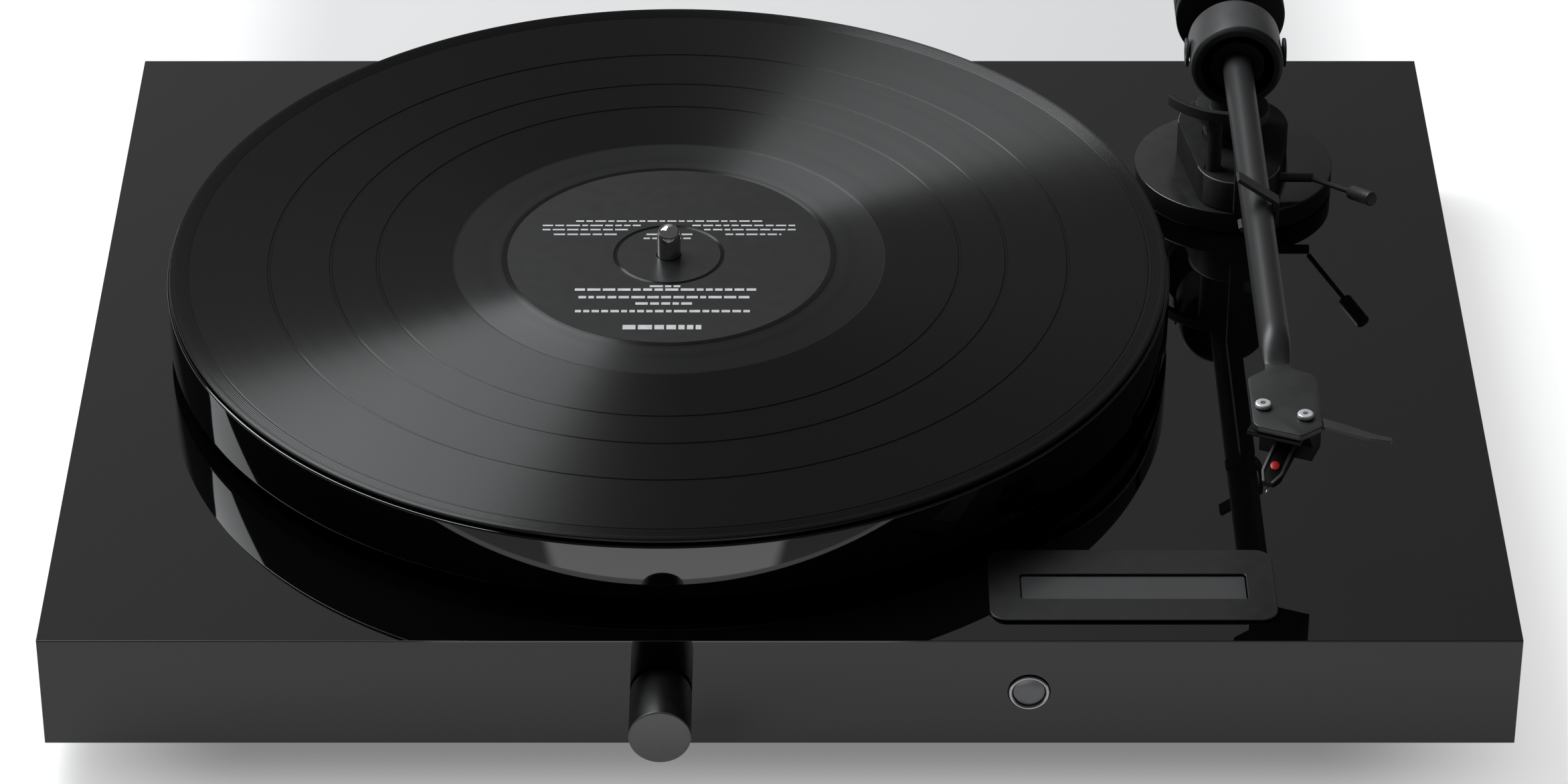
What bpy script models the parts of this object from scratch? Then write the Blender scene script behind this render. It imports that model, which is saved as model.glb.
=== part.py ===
"""Belt-drive record player: plinth with sub-platter drive, platter, record, gimballed arm and controls.

Metres, +Z up. The origin is on the floor under the middle of the plinth: +X is the arm's side,
-Y the side that faces the listener, with the volume knob.
"""

from math import atan2, cos, pi, radians, sin

import bmesh
import bpy
from mathutils import Matrix, Vector

# ---- driving dimensions ----
GAP = 0.0003  # room left between pieces that touch
DISC_STEPS = 64  # sides of the platter and the record
ROUND_STEPS = 32  # sides of middling round pieces
SMALL_STEPS = 16  # sides of small round pieces
PLINTH_W = 0.415
PLINTH_D = 0.322
PLINTH_H = 0.0357
FOOT_H = 0.012
TOP = FOOT_H + PLINTH_H  # height of the plinth's top face
BOARD_LOW = TOP - 0.0165  # underside of the board over the electronics
WALL = 0.0125  # plinth side walls
FACE_ROOM = TOP - 0.0070  # ceiling of the deeper front and rear pockets

SPINDLE_X = -0.0333
SPINDLE_Y = 0.0020
PLATTER_R = 0.1505
PLATTER_LOW = TOP + 0.0052
PLATTER_TOP = TOP + 0.0231
MAT_RECESS = 0.0013
MAT_R = 0.1470
RECORD_R = 0.1497
RECORD_LOW = TOP + 0.0238
RECORD_TOP = TOP + 0.0250
LABEL_R = 0.0500
SPINDLE_R = 0.00355
SUB_PLATTER_R = 0.0650
SUB_PLATTER_LOW = TOP - 0.0090
WELL_FLOOR = TOP - 0.0115
MOTOR_DISTANCE = 0.1150
MOTOR_ANGLE = radians(150)
PULLEY_R = 0.0065  # step that the belt runs on
PULLEY_FAST_R = PULLEY_R * 45 / 33.333
BELT_LOW = TOP - 0.0045
BELT_TALL = 0.0040
BELT_THICK = 0.0011

BASE_X = 0.1427
BASE_Y = 0.0846
BASE_R = 0.0310
ARM_X = 0.1416
ARM_Y = 0.0840
ARM_Z = TOP + 0.0477
BASE_TOP = TOP + 0.0075
BLOCK_TOP = TOP + 0.0182
RING_OUT = 0.0143
RING_BORE = 0.0112
RING_FRONT = ARM_Y - 0.0100
RING_BACK = ARM_Y + 0.0078
TUBE_R = 0.0046
TUBE_FRONT = -0.0925
WEIGHT_R = 0.0171
WEIGHT_FRONT = 0.1060
WEIGHT_BACK = 0.1290
LIFT_AT = (ARM_X - 0.0070, ARM_Y - 0.0205)  # the lift's piston
LIFT_R = 0.0240
LIFT_TOP = TOP + 0.0400
CUE_ROOT_X = 0.1500  # where the cueing axle starts inside the block
CUE_Y = 0.0660
CUE_Z = TOP + 0.0132
CLIP_Y = -0.0105

SHELL_TOP = TOP + 0.0465
SHELL_THICK = 0.0020
SCREW_ANGLE = radians(25)  # the screws' line, from the arm's cross line
OFFSET = radians(22)  # angle between the arm tube and the cartridge
SCREWS_AT = (0.1418, -0.1157)  # between the two cartridge screws
SCREW_REACH = 0.00635
STYLUS_TIP = TOP + 0.0270

KNOB_R = 0.00875
KNOB_OUT = 0.0213
KNOB_ROOM = 0.0008  # gap behind the knob, which it moves into when pressed
FACE_Z = TOP - 0.0178
RECEIVER_X = 0.0700
DISPLAY_X = (0.0590, 0.1400)
DISPLAY_Y = (-0.1523, -0.1181)
WINDOW_X = (0.0680, 0.1320)
WINDOW_Y = (-0.1420, -0.1300)
FRONT = -PLINTH_D / 2
BACK = PLINTH_D / 2

MATERIALS = {
    "gloss_black_lacquer": ((0.030, 0.030, 0.032), 0.06, 0.0),
    "satin_black_metal": ((0.060, 0.060, 0.062), 0.35, 0.6),
    "satin_grey_plastic": ((0.055, 0.055, 0.058), 0.40, 0.0),
    "vinyl": ((0.012, 0.012, 0.013), 0.25, 0.0),
    "felt": ((0.030, 0.030, 0.032), 0.95, 0.0),
    "steel": ((0.62, 0.62, 0.63), 0.22, 1.0),
    "brass": ((0.70, 0.52, 0.22), 0.30, 1.0),
    "rubber": ((0.020, 0.020, 0.020), 0.80, 0.0),
    "dark_plastic": ((0.018, 0.018, 0.019), 0.50, 0.0),
    "window_grey": ((0.085, 0.085, 0.090), 0.20, 0.0),
    "board_green": ((0.030, 0.120, 0.060), 0.55, 0.0),
    "aluminium": ((0.55, 0.55, 0.56), 0.35, 1.0),
    "post_red": ((0.42, 0.020, 0.025), 0.35, 0.0),
}


# ---- scene helpers ----
def clear_scene():
    for obj in list(bpy.data.objects):
        bpy.data.objects.remove(obj, do_unlink=True)


def material(name):
    found = bpy.data.materials.get(name)
    if found:
        return found
    colour, roughness, metallic = MATERIALS[name]
    made = bpy.data.materials.new(name)
    made.use_nodes = True
    shader = made.node_tree.nodes["Principled BSDF"]
    shader.inputs["Base Color"].default_value = (*colour, 1.0)
    shader.inputs["Roughness"].default_value = roughness
    shader.inputs["Metallic"].default_value = metallic
    made.diffuse_color = (*colour, 1.0)
    return made


def empty(name, place):
    made = bpy.data.objects.new(name, None)
    made.location = place
    bpy.context.scene.collection.objects.link(made)
    return made


def face_outward(bm):
    bmesh.ops.recalc_face_normals(bm, faces=bm.faces)
    if bm.calc_volume(signed=True) < 0:
        bmesh.ops.reverse_faces(bm, faces=bm.faces)


def add(name, bm, finish, origin=None, smooth=True, matrix=None):
    """An object from a bmesh in world metres. origin is the empty that it turns or slides with."""
    if matrix:
        bm.transform(matrix)
    face_outward(bm)
    mesh = bpy.data.meshes.new(name)
    if origin:
        bm.transform(Matrix.Translation(-origin.location))
    bm.to_mesh(mesh)
    bm.free()
    if smooth:
        mesh.shade_smooth()
        mesh.set_sharp_from_angle(angle=radians(35))
    mesh.materials.append(material(finish))
    made = bpy.data.objects.new(name, mesh)
    made.parent = origin
    bpy.context.scene.collection.objects.link(made)
    return made


def cutter(name, bm):
    made = add(name, bm, "dark_plastic", smooth=False)
    made.hide_render = True
    made.display_type = "WIRE"
    return made


def cut(obj, bm, operation="DIFFERENCE"):
    """Takes a bmesh's solid away from an object, or joins it on."""
    index = len(obj.modifiers)
    helper = cutter(f"{obj.name}_tool_{index}", bm)
    if obj.parent:
        helper.parent = None
    modifier = obj.modifiers.new(f"cut_{index}", "BOOLEAN")
    modifier.operation = operation
    modifier.solver = "EXACT"
    modifier.object = helper
    return obj


# ---- shapes, in world metres ----
def ring_points(radius, steps, centre=(0.0, 0.0), start=0.0, sweep=2 * pi, closed=True):
    count = steps if closed else steps + 1
    return [
        (centre[0] + radius * cos(start + sweep * i / steps),
         centre[1] + radius * sin(start + sweep * i / steps))
        for i in range(count)
    ]


def prism(outline, low, high):
    """An outline in XY pushed up from low to high."""
    bm = bmesh.new()
    face = bm.faces.new([bm.verts.new((x, y, low)) for x, y in outline])
    pushed = bmesh.ops.extrude_face_region(bm, geom=[face])
    moved = [item for item in pushed["geom"] if isinstance(item, bmesh.types.BMVert)]
    bmesh.ops.translate(bm, verts=moved, vec=(0, 0, high - low))
    return bm


def block(x, y, z):
    return prism([(x[0], y[0]), (x[1], y[0]), (x[1], y[1]), (x[0], y[1])], z[0], z[1])


def rounded_outline(x, y, radius, steps=4):
    corners = [(x[1], y[1], 0.0), (x[0], y[1], pi / 2), (x[0], y[0], pi), (x[1], y[0], 1.5 * pi)]
    points = []
    for cx, cy, start in corners:
        centre = (cx - radius if cx == x[1] else cx + radius, cy - radius if cy == y[1] else cy + radius)
        points += ring_points(radius, steps, centre, start, pi / 2, closed=False)
    return points


def rod(radius, low, high, steps=24, centre=(0.0, 0.0)):
    return prism(ring_points(radius, steps, centre), low, high)


def turned(profile, steps):
    """A solid of revolution about Z from (radius, height) points, listed round a closed outline.

    Where the outline starts and ends on the axis, the two ends are single points.
    """
    bm = bmesh.new()
    rows = []
    for radius, height in profile:
        if radius == 0:
            rows.append([bm.verts.new((0, 0, height))] * steps)
        else:
            rows.append([bm.verts.new((x, y, height)) for x, y in ring_points(radius, steps)])
    open_ended = profile[0][0] == 0 and profile[-1][0] == 0
    pairs = list(zip(rows, rows[1:])) + ([] if open_ended else [(rows[-1], rows[0])])
    for first, second in pairs:
        for i in range(steps):
            j = (i + 1) % steps
            corners = []
            for vert in (first[i], first[j], second[j], second[i]):
                if vert not in corners:
                    corners.append(vert)
            if len(corners) > 2:
                bm.faces.new(corners)
    return bm


def along(direction, place):
    """The matrix that lays a shape made along +Z along a direction, from a place."""
    turn = Vector((0, 0, 1)).rotation_difference(Vector(direction).normalized())
    return Matrix.Translation(place) @ turn.to_matrix().to_4x4()


def moved(bm, matrix):
    bm.transform(matrix)
    return bm


# ---- plinth and drive ----
def motor_place():
    return (
        SPINDLE_X + MOTOR_DISTANCE * cos(MOTOR_ANGLE),
        SPINDLE_Y + MOTOR_DISTANCE * sin(MOTOR_ANGLE),
    )


def belt_outline(extra, wheel=SUB_PLATTER_R, pulley=PULLEY_R, steps=ROUND_STEPS):
    """The outline of a taut band round sub-platter and pulley, a given way out from their rims."""
    big, small = wheel + extra, pulley + extra
    lean = atan2((big - small) / MOTOR_DISTANCE, 1.0)
    wrap = pi / 2 - lean
    motor = motor_place()
    points = ring_points(small, steps // 4, motor, MOTOR_ANGLE - wrap, 2 * wrap, closed=False)
    points += ring_points(big, steps, (SPINDLE_X, SPINDLE_Y), MOTOR_ANGLE + wrap, 2 * (pi - wrap),
                          closed=False)
    return points


def make_plinth():
    half_w, half_d = PLINTH_W / 2, PLINTH_D / 2
    plinth = add("plinth", block((-half_w, half_w), (-half_d, half_d), (FOOT_H, TOP)),
                 "gloss_black_lacquer")
    inner_x = (-half_w + WALL, half_w - WALL)
    inner_y = (-half_d + WALL, half_d - WALL)
    below = FOOT_H - 0.001
    cut(plinth, block(inner_x, inner_y, (below, BOARD_LOW)))
    cut(plinth, block(inner_x, (inner_y[0], -0.078), (BOARD_LOW - 0.001, FACE_ROOM)))
    cut(plinth, block((inner_x[0], 0.105), (0.078, inner_y[1]), (BOARD_LOW - 0.001, FACE_ROOM)))
    rebate_x = (inner_x[0] - 0.005, inner_x[1] + 0.005)
    rebate_y = (inner_y[0] - 0.005, inner_y[1] + 0.005)
    cut(plinth, block(rebate_x, rebate_y, (below, FOOT_H + 0.0018)))
    cut(plinth, prism(belt_outline(0.0065, pulley=PULLEY_FAST_R), WELL_FLOOR, TOP + 0.001))
    motor = motor_place()
    cut(plinth, rod(0.0110, BOARD_LOW - 0.001, WELL_FLOOR + 0.001, 24, motor))
    cut(plinth, rod(0.0080, BOARD_LOW - 0.001, WELL_FLOOR + 0.001, 24, (SPINDLE_X, SPINDLE_Y)))
    cut(plinth, rod(0.0110, BOARD_LOW - 0.001, TOP + 0.001, 24, (ARM_X, ARM_Y)))
    forward = along((0, 1, 0), (0, 0, 0))
    for x, radius in ((SPINDLE_X, 0.0036), (RECEIVER_X, 0.0048)):
        hole = moved(rod(radius, 0, WALL + 0.002, 16),
                     Matrix.Translation((x, FRONT - 0.001, FACE_Z)) @ forward)
        cut(plinth, hole)
    recess = moved(rod(0.0060, 0, 0.0025 + 0.001, 24),
                   Matrix.Translation((RECEIVER_X, FRONT - 0.001, FACE_Z)) @ forward)
    cut(plinth, recess)
    display_hole = block((WINDOW_X[0] - 0.001, WINDOW_X[1] + 0.001), (-0.1445, -0.1275),
                         (FACE_ROOM - 0.001, TOP + 0.001))
    cut(plinth, display_hole)
    cut(plinth,
        block((-0.120, 0.090), (inner_y[1] - 0.001, BACK + 0.001), (FOOT_H + 0.0045, TOP - 0.0085)))


def make_bottom():
    half_w, half_d = PLINTH_W / 2 - WALL + 0.005 - GAP, PLINTH_D / 2 - WALL + 0.005 - GAP
    plate = add("bottom_plate",
                block((-half_w, half_w), (-half_d, half_d), (FOOT_H + 0.0001, FOOT_H + 0.0015)),
                "satin_black_metal")
    cut(plate, block((-0.182, -0.160), (-0.140, -0.128), (FOOT_H - 0.001, FOOT_H + 0.003)))
    for side_x, name_x in ((-1, "left"), (1, "right")):
        for side_y, name_y in ((-1, "front"), (1, "rear")):
            place = (side_x * (PLINTH_W / 2 - 0.040), side_y * (PLINTH_D / 2 - 0.036), 0)
            profile = [
                (0, 0), (0.0145, 0), (0.0165, 0.002), (0.0165, 0.0075),
                (0.0140, FOOT_H - GAP), (0, FOOT_H - GAP),
            ]
            foot = turned(profile, SMALL_STEPS)
            add(f"foot_{name_y}_{name_x}", foot, "rubber", matrix=Matrix.Translation(place))


def make_bearing(spin):
    centre = Matrix.Translation((SPINDLE_X, SPINDLE_Y, 0))
    bush = [(0.0041, BOARD_LOW - 0.0100), (0.0076, BOARD_LOW - 0.0100), (0.0076, WELL_FLOOR + 0.0008),
            (0.0041, WELL_FLOOR + 0.0008)]
    add("bearing_bush", turned(bush[::-1], SMALL_STEPS), "brass", matrix=centre)
    plate = block((SPINDLE_X - 0.018, SPINDLE_X + 0.018), (SPINDLE_Y - 0.009, SPINDLE_Y + 0.009),
                  (BOARD_LOW - 0.0125, BOARD_LOW - 0.0103))
    add("thrust_plate", plate, "steel")
    nose = 0.0030
    tip = TOP + 0.0353
    axle = [(0, tip), (SPINDLE_R * 0.55, tip - 0.0005), (SPINDLE_R * 0.88, tip - nose * 0.55),
            (SPINDLE_R, tip - nose),
            (SPINDLE_R, BOARD_LOW - 0.0085), (0.0018, BOARD_LOW - 0.0098), (0, BOARD_LOW - 0.0098)]
    add("spindle", turned(axle[::-1], SMALL_STEPS), "steel", spin, matrix=centre)
    bore = SPINDLE_R + GAP
    sub_top = PLATTER_LOW - GAP
    sub = [(bore, sub_top), (SUB_PLATTER_R, sub_top), (SUB_PLATTER_R, SUB_PLATTER_LOW),
           (SUB_PLATTER_R - 0.004, SUB_PLATTER_LOW), (SUB_PLATTER_R - 0.004, sub_top - 0.0045),
           (0.0140, sub_top - 0.0045), (0.0140, SUB_PLATTER_LOW), (bore, SUB_PLATTER_LOW)]
    add("sub_platter", turned(sub, ROUND_STEPS), "dark_plastic", spin, matrix=centre)


def make_motor(pulley_spin):
    x, y = motor_place()
    centre = Matrix.Translation((x, y, 0))
    bracket = rod(0.0230, BOARD_LOW - 0.0020, BOARD_LOW - GAP, SMALL_STEPS)
    plate = add("motor_bracket", bracket, "steel", matrix=centre)
    cut(plate, moved(rod(0.0100, BOARD_LOW - 0.003, BOARD_LOW + 0.001, SMALL_STEPS), centre))
    can_top = BOARD_LOW - 0.0020 - GAP
    can = [(0, can_top), (0.0175, can_top), (0.0185, can_top - 0.001), (0.0185, FOOT_H + 0.0035),
           (0, FOOT_H + 0.0035)]
    add("motor", turned(can, SMALL_STEPS), "aluminium", matrix=centre)
    shaft_low = can_top + GAP
    fast_low, belt_mid = TOP - 0.0095, TOP - 0.0052
    profile = [(0, TOP + 0.0015), (0.0074, TOP + 0.0015), (0.0074, TOP + 0.0008),
               (PULLEY_R, TOP + 0.0003),
               (PULLEY_R, belt_mid), (PULLEY_FAST_R, belt_mid - 0.0004), (PULLEY_FAST_R, fast_low),
               (0.0012, fast_low), (0.0012, shaft_low), (0, shaft_low)]
    add("motor_pulley", turned(profile, SMALL_STEPS), "brass", pulley_spin, matrix=centre)
    belt = add("drive_belt", prism(belt_outline(GAP + BELT_THICK), BELT_LOW, BELT_LOW + BELT_TALL),
               "rubber")
    cut(belt, prism(belt_outline(GAP), BELT_LOW - 0.001, BELT_LOW + BELT_TALL + 0.001))


def make_platter(spin, lift):
    centre = Matrix.Translation((SPINDLE_X, SPINDLE_Y, 0))
    bore = SPINDLE_R + GAP
    floor = PLATTER_TOP - MAT_RECESS
    edge = 0.0006
    platter = [(bore, floor), (MAT_R + GAP, floor), (MAT_R + GAP, PLATTER_TOP),
               (PLATTER_R - edge, PLATTER_TOP),
               (PLATTER_R, PLATTER_TOP - edge), (PLATTER_R, PLATTER_LOW + edge),
               (PLATTER_R - edge, PLATTER_LOW),
               (bore, PLATTER_LOW)]
    add("platter", turned(platter, DISC_STEPS), "gloss_black_lacquer", spin, matrix=centre)
    mat_low = floor + 0.0002
    mat_top = RECORD_LOW - 0.0002
    mat = [(bore, mat_top), (MAT_R, mat_top), (MAT_R, mat_low), (bore, mat_low)]
    add("felt_mat", turned(mat, ROUND_STEPS), "felt", spin, matrix=centre)
    groove_top = RECORD_TOP - 0.0003
    hole = 0.0037
    record = [(hole, RECORD_TOP), (LABEL_R, RECORD_TOP), (LABEL_R + 0.0008, groove_top),
              (0.1460, groove_top), (0.1478, RECORD_TOP), (RECORD_R, RECORD_TOP - 0.0006),
              (RECORD_R, RECORD_LOW),
              (hole, RECORD_LOW)]
    add("record", turned(record, DISC_STEPS), "vinyl", lift, matrix=centre)


# ---- front and top controls ----
def make_controls(knob_turn, switch):
    forward = along((0, -1, 0), (0, 0, 0))
    edge = 0.0005
    length = KNOB_OUT - KNOB_ROOM
    knob = [(0, length), (KNOB_R - edge, length), (KNOB_R, length - edge), (KNOB_R, 0), (0.0031, 0),
            (0.0031, 0.012), (0, 0.012)]
    place = Matrix.Translation((SPINDLE_X, FRONT - KNOB_ROOM, FACE_Z)) @ forward
    add("volume_knob", turned(knob, ROUND_STEPS), "satin_black_metal", knob_turn, matrix=place)
    shaft = rod(0.0028, 0, KNOB_OUT - 0.0100 + WALL, SMALL_STEPS)
    start = Matrix.Translation((SPINDLE_X, FRONT + WALL, FACE_Z)) @ forward
    add("encoder_shaft", shaft, "steel", knob_turn, matrix=start)
    body = block((SPINDLE_X - 0.0065, SPINDLE_X + 0.0065), (FRONT + WALL + 0.0009, FRONT + WALL + 0.0079),
                 (FACE_Z - 0.0060, FACE_Z + 0.0060))
    add("volume_encoder", body, "dark_plastic", smooth=False)

    ring = [(0.0047, -0.0012), (0.0047, 0.0006), (0.0050, 0.0008), (0.0057, 0.0006), (0.0057, -0.0012)]
    centre = Matrix.Translation((RECEIVER_X, FRONT, FACE_Z)) @ forward
    add("receiver_ring", turned(ring, SMALL_STEPS), "steel", matrix=centre)
    dome = [(0, 0.0004), (0.0022, 0.0003), (0.0044, -0.0001), (0.0044, -0.0100), (0, -0.0100)]
    add("receiver_lens", turned(dome, SMALL_STEPS), "window_grey", matrix=centre)

    bezel_low, bezel_high = TOP + 0.0001, TOP + 0.0009
    bezel = add("display_bezel",
                prism(rounded_outline(DISPLAY_X, DISPLAY_Y, 0.005), bezel_low, bezel_high),
                "satin_grey_plastic")
    cut(bezel, prism(rounded_outline(WINDOW_X, WINDOW_Y, 0.0010), bezel_low - 0.001, bezel_high + 0.001))
    inside_x = (WINDOW_X[0] + GAP, WINDOW_X[1] - GAP)
    inside_y = (WINDOW_Y[0] + GAP, WINDOW_Y[1] - GAP)
    add("display_window",
        prism(rounded_outline(inside_x, inside_y, 0.0008), TOP - 0.0012, TOP + 0.0004), "window_grey")
    board = block((WINDOW_X[0], WINDOW_X[1]), (-0.1438, -0.1282), (TOP - 0.0066, TOP - 0.0016))
    add("display_board", board, "board_green", smooth=False)

    housing = block((-0.1805, -0.1615), (-0.1387, -0.1293), (FOOT_H + 0.0018, FOOT_H + 0.0120))
    shell = add("switch_housing", housing, "dark_plastic", smooth=False)
    cut(shell, block((-0.1780, -0.1640), (-0.1370, -0.1310), (FOOT_H + 0.0010, FOOT_H + 0.0080)))
    rocker_outline = [(-0.0060, -0.0010), (0, -0.0022), (0.0060, 0.0002), (0.0060, 0.0022),
                      (-0.0060, 0.0022)]
    rocker = prism(rocker_outline, -0.0027, 0.0027)
    turn = Matrix.Rotation(pi / 2, 4, "X")
    add("motor_switch", rocker, "dark_plastic", switch, smooth=False,
        matrix=Matrix.Translation(switch.location) @ turn)


# ---- electronics and rear ----
def make_electronics():
    board_z = FOOT_H + 0.0045
    add("amplifier_board", block((-0.060, 0.090), (0.088, 0.140), (board_z, board_z + 0.0016)),
        "board_green", smooth=False)
    fins = add("heat_sink",
               block((-0.010, 0.050), (0.092, 0.108), (board_z + 0.0019, board_z + 0.0040)),
               "aluminium", smooth=False)
    for i in range(7):
        x = -0.0092 + i * 0.0094
        cut(fins, block((x, x + 0.0020), (0.0925, 0.1075), (board_z + 0.0035, board_z + 0.0150)), "UNION")
    panel_y = (BACK - 0.0030, BACK - 0.0008)
    panel = add("rear_panel", block((-0.1195, 0.0895), panel_y, (FOOT_H + 0.0049, TOP - 0.0089)),
                "satin_black_metal", smooth=False)
    mid = (FOOT_H + 0.0049 + TOP - 0.0089) / 2
    back = along((0, 1, 0), (0, 0, 0))
    for name, x, finish in (
        ("right_positive", -0.104, "post_red"), ("right_negative", -0.085, "dark_plastic"),
        ("left_positive", -0.062, "post_red"), ("left_negative", -0.043, "dark_plastic"),
    ):
        profile = [(0, KNOB_OUT), (0.0036, KNOB_OUT), (0.0036, 0.0175), (0.0062, 0.0165),
                   (0.0062, 0.0030),
                   (0.0068, 0.0028), (0.0068, 0.0), (0.0028, 0.0), (0.0028, -0.0120), (0, -0.0120)]
        add(f"binding_post_{name}", turned(profile, 12), finish,
            matrix=Matrix.Translation((x, BACK, mid)) @ back)
        cut(panel, moved(rod(0.0034, -0.005, 0.001, 12), Matrix.Translation((x, BACK, mid)) @ back))
    for name, x in (("line_in", -0.013), ("line_out", 0.024)):
        jack_block = add(f"{name}_jacks",
                         block((x - 0.0140, x + 0.0140), (BACK - 0.0150, BACK - 0.0033),
                               (mid - 0.0070, mid + 0.0070)),
                         "dark_plastic", smooth=False)
        for side in (-1, 1):
            place = Matrix.Translation((x + side * 0.007, BACK, mid)) @ back
            barrel = turned([(0.0016, 0.0085), (0.0041, 0.0085), (0.0041, -0.0040), (0.0016, -0.0040)],
                            12)
            cut(jack_block, moved(barrel, place), "UNION")
            cut(panel, moved(rod(0.0046, -0.005, 0.001, 12), place))
    x = 0.062
    socket = add("power_inlet",
                 block((x - 0.0065, x + 0.0065), (BACK - 0.0150, BACK - 0.0033),
                       (mid - 0.0065, mid + 0.0065)),
                 "dark_plastic", smooth=False)
    place = Matrix.Translation((x, BACK, mid)) @ back
    cut(socket,
        moved(turned([(0.0031, 0.0002), (0.0050, 0.0002), (0.0050, -0.0040), (0.0031, -0.0040)], 12),
              place), "UNION")
    cut(socket, moved(rod(0.0031, -0.0110, -0.0020, 12), place))
    cut(socket, moved(rod(0.0010, -0.0125, -0.0015, 8), place), "UNION")
    cut(panel, moved(rod(0.0054, -0.005, 0.001, 12), place))


# ---- arm: the parts that stay ----
def shield_outline():
    """The arm block from above: round at the back, sides drawing in to a blunt front over the disc's edge."""
    back_r = 0.0173
    back_y = 0.0065
    right = [(0.0126, -0.0215), (0.0112, -0.0248), (0.0088, -0.0277), (0.0055, -0.0297),
             (0.0015, -0.0306)]
    left = [(-x, y) for x, y in right[::-1]]
    arc = ring_points(back_r, 14, (0, back_y), pi, -pi, closed=False)
    return [(BASE_X + x, BASE_Y + y) for x, y in left + arc + right]


def make_arm_base():
    place = Matrix.Translation((BASE_X, BASE_Y, 0))
    pivot = Matrix.Translation((ARM_X, ARM_Y, 0))
    edge = 0.0004
    low = TOP + GAP
    disc = [(0.0125, BASE_TOP), (BASE_R - edge, BASE_TOP), (BASE_R, BASE_TOP - edge), (BASE_R, low),
            (0.0125, low)]
    add("arm_base", turned(disc, ROUND_STEPS), "satin_black_metal", matrix=place)
    housing = add("arm_block", prism(shield_outline(), BASE_TOP + GAP, BLOCK_TOP), "satin_black_metal")
    nut_top = BOARD_LOW - GAP
    sleeve = [(0.0062, BLOCK_TOP + 0.0020), (0.0088, BLOCK_TOP + 0.0020), (0.0088, BLOCK_TOP - 0.0040),
              (0.0100, BLOCK_TOP - 0.0040)]
    sleeve += [(0.0100, nut_top), (0.0150, nut_top), (0.0150, nut_top - 0.0040),
               (0.0062, nut_top - 0.0040)]
    add("arm_bearing_sleeve", turned(sleeve, SMALL_STEPS), "aluminium", matrix=pivot)
    bore = [(0, BLOCK_TOP + 0.001), (0.0091, BLOCK_TOP + 0.001), (0.0091, BLOCK_TOP - 0.0037),
            (0.0103, BLOCK_TOP - 0.0037)]
    bore += [(0.0103, BASE_TOP - 0.001), (0, BASE_TOP - 0.001)]
    cut(housing, moved(turned(bore, SMALL_STEPS), pivot))
    cut(housing, rod(0.0028, BLOCK_TOP - 0.0070, BLOCK_TOP + 0.001, SMALL_STEPS, LIFT_AT))
    axle_hole = moved(rod(0.0018, 0, 0.0110, 12), along((1, 0, 0), (CUE_ROOT_X - 0.0003, CUE_Y, CUE_Z)))
    cut(housing, axle_hole)


def make_rest():
    """The clip that holds the resting arm, on a bracket from the front of the arm block.

    It is open to the platter's side. Its slanted finger stops the arm from jumping up.
    """
    width = 0.0050
    inner = TUBE_R + 0.0005
    wall = 0.0012
    drop = 0.0012  # room for the arm to sink to the record's level
    lean = radians(55)  # the top finger's outward normal, from +X towards +Z
    finger_in = TUBE_R + 0.0013
    finger_out = finger_in + wall
    run = 0.0122

    def on_finger(distance, along_it):
        return (distance * cos(lean) - along_it * sin(lean), distance * sin(lean) + along_it * cos(lean))

    def bowl(radius):
        return ring_points(radius, 10, (0, -drop), 0, -radians(150), closed=False)

    def meets_wall(distance, x):
        return on_finger(distance, (distance * cos(lean) - x) / sin(lean))

    outline = [on_finger(finger_out, run), meets_wall(finger_out, inner + wall)]
    outline += bowl(inner + wall) + bowl(inner)[::-1]
    outline += [meets_wall(finger_in, inner), on_finger(finger_in, run)]
    clip = prism(outline[::-1], -width / 2, width / 2)
    stand = Matrix.Rotation(pi / 2, 4, "X")
    clip.transform(Matrix.Translation((ARM_X, CLIP_Y, ARM_Z)) @ stand)
    rest = add("arm_rest", clip, "satin_black_metal", smooth=False)
    bar_x = (ARM_X - 0.0012, ARM_X + 0.0032)
    floor_z = ARM_Z - drop - inner - wall
    bar_z = (floor_z - 0.0035, floor_z + 0.0008)
    root_y = BASE_Y - 0.0306 - GAP
    cut(rest, block(bar_x, (CLIP_Y - width / 2 + 0.0003, root_y - 0.0036), bar_z), "UNION")
    cut(rest, block(bar_x, (root_y - 0.0040, root_y), (BASE_TOP + 0.0020, bar_z[1] - 0.0001)), "UNION")


# ---- arm: the parts that move ----
def make_lift(lift, lever):
    top = LIFT_TOP - 0.0040
    piston = rod(0.0024, BLOCK_TOP - 0.0065, top, SMALL_STEPS, LIFT_AT)
    add("lift_piston", piston, "satin_black_metal", lift)
    first, last = radians(-149), radians(-84)
    outer = ring_points(LIFT_R + 0.0009, 10, (ARM_X, ARM_Y), first, last - first, closed=False)
    inner = ring_points(LIFT_R - 0.0009, 10, (ARM_X, ARM_Y), first, last - first, closed=False)
    add("lift_bar", prism(outer + inner[::-1], LIFT_TOP - 0.0043 + GAP + 0.0003, LIFT_TOP), "rubber",
        lift)

    axle = moved(rod(0.0015, 0, 0.1662 - CUE_ROOT_X, 12), along((1, 0, 0), (CUE_ROOT_X, CUE_Y, CUE_Z)))
    add("cue_axle", axle, "satin_black_metal", lever)
    root, grip = Vector((0.1645, CUE_Y, CUE_Z)), Vector((0.1814, 0.0378, TOP + 0.0225))
    way = (grip - root).normalized()
    stand_off = 0.0029  # clears the axle, which the stem meets at a slant
    start = root + way * stand_off
    grip_length = 0.0110
    stem_length = (grip - root).length - grip_length - stand_off
    stem = moved(rod(0.0010, 0, stem_length, 10), along(way, start))
    add("cue_lever", stem, "satin_black_metal", lever)
    handle = [(0, grip_length), (0.0018, grip_length), (0.0022, grip_length - 0.0004), (0.0022, GAP),
              (0, GAP)]
    add("cue_grip", turned(handle, SMALL_STEPS), "satin_black_metal", lever,
        matrix=along(way, start + way * stem_length))


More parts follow.
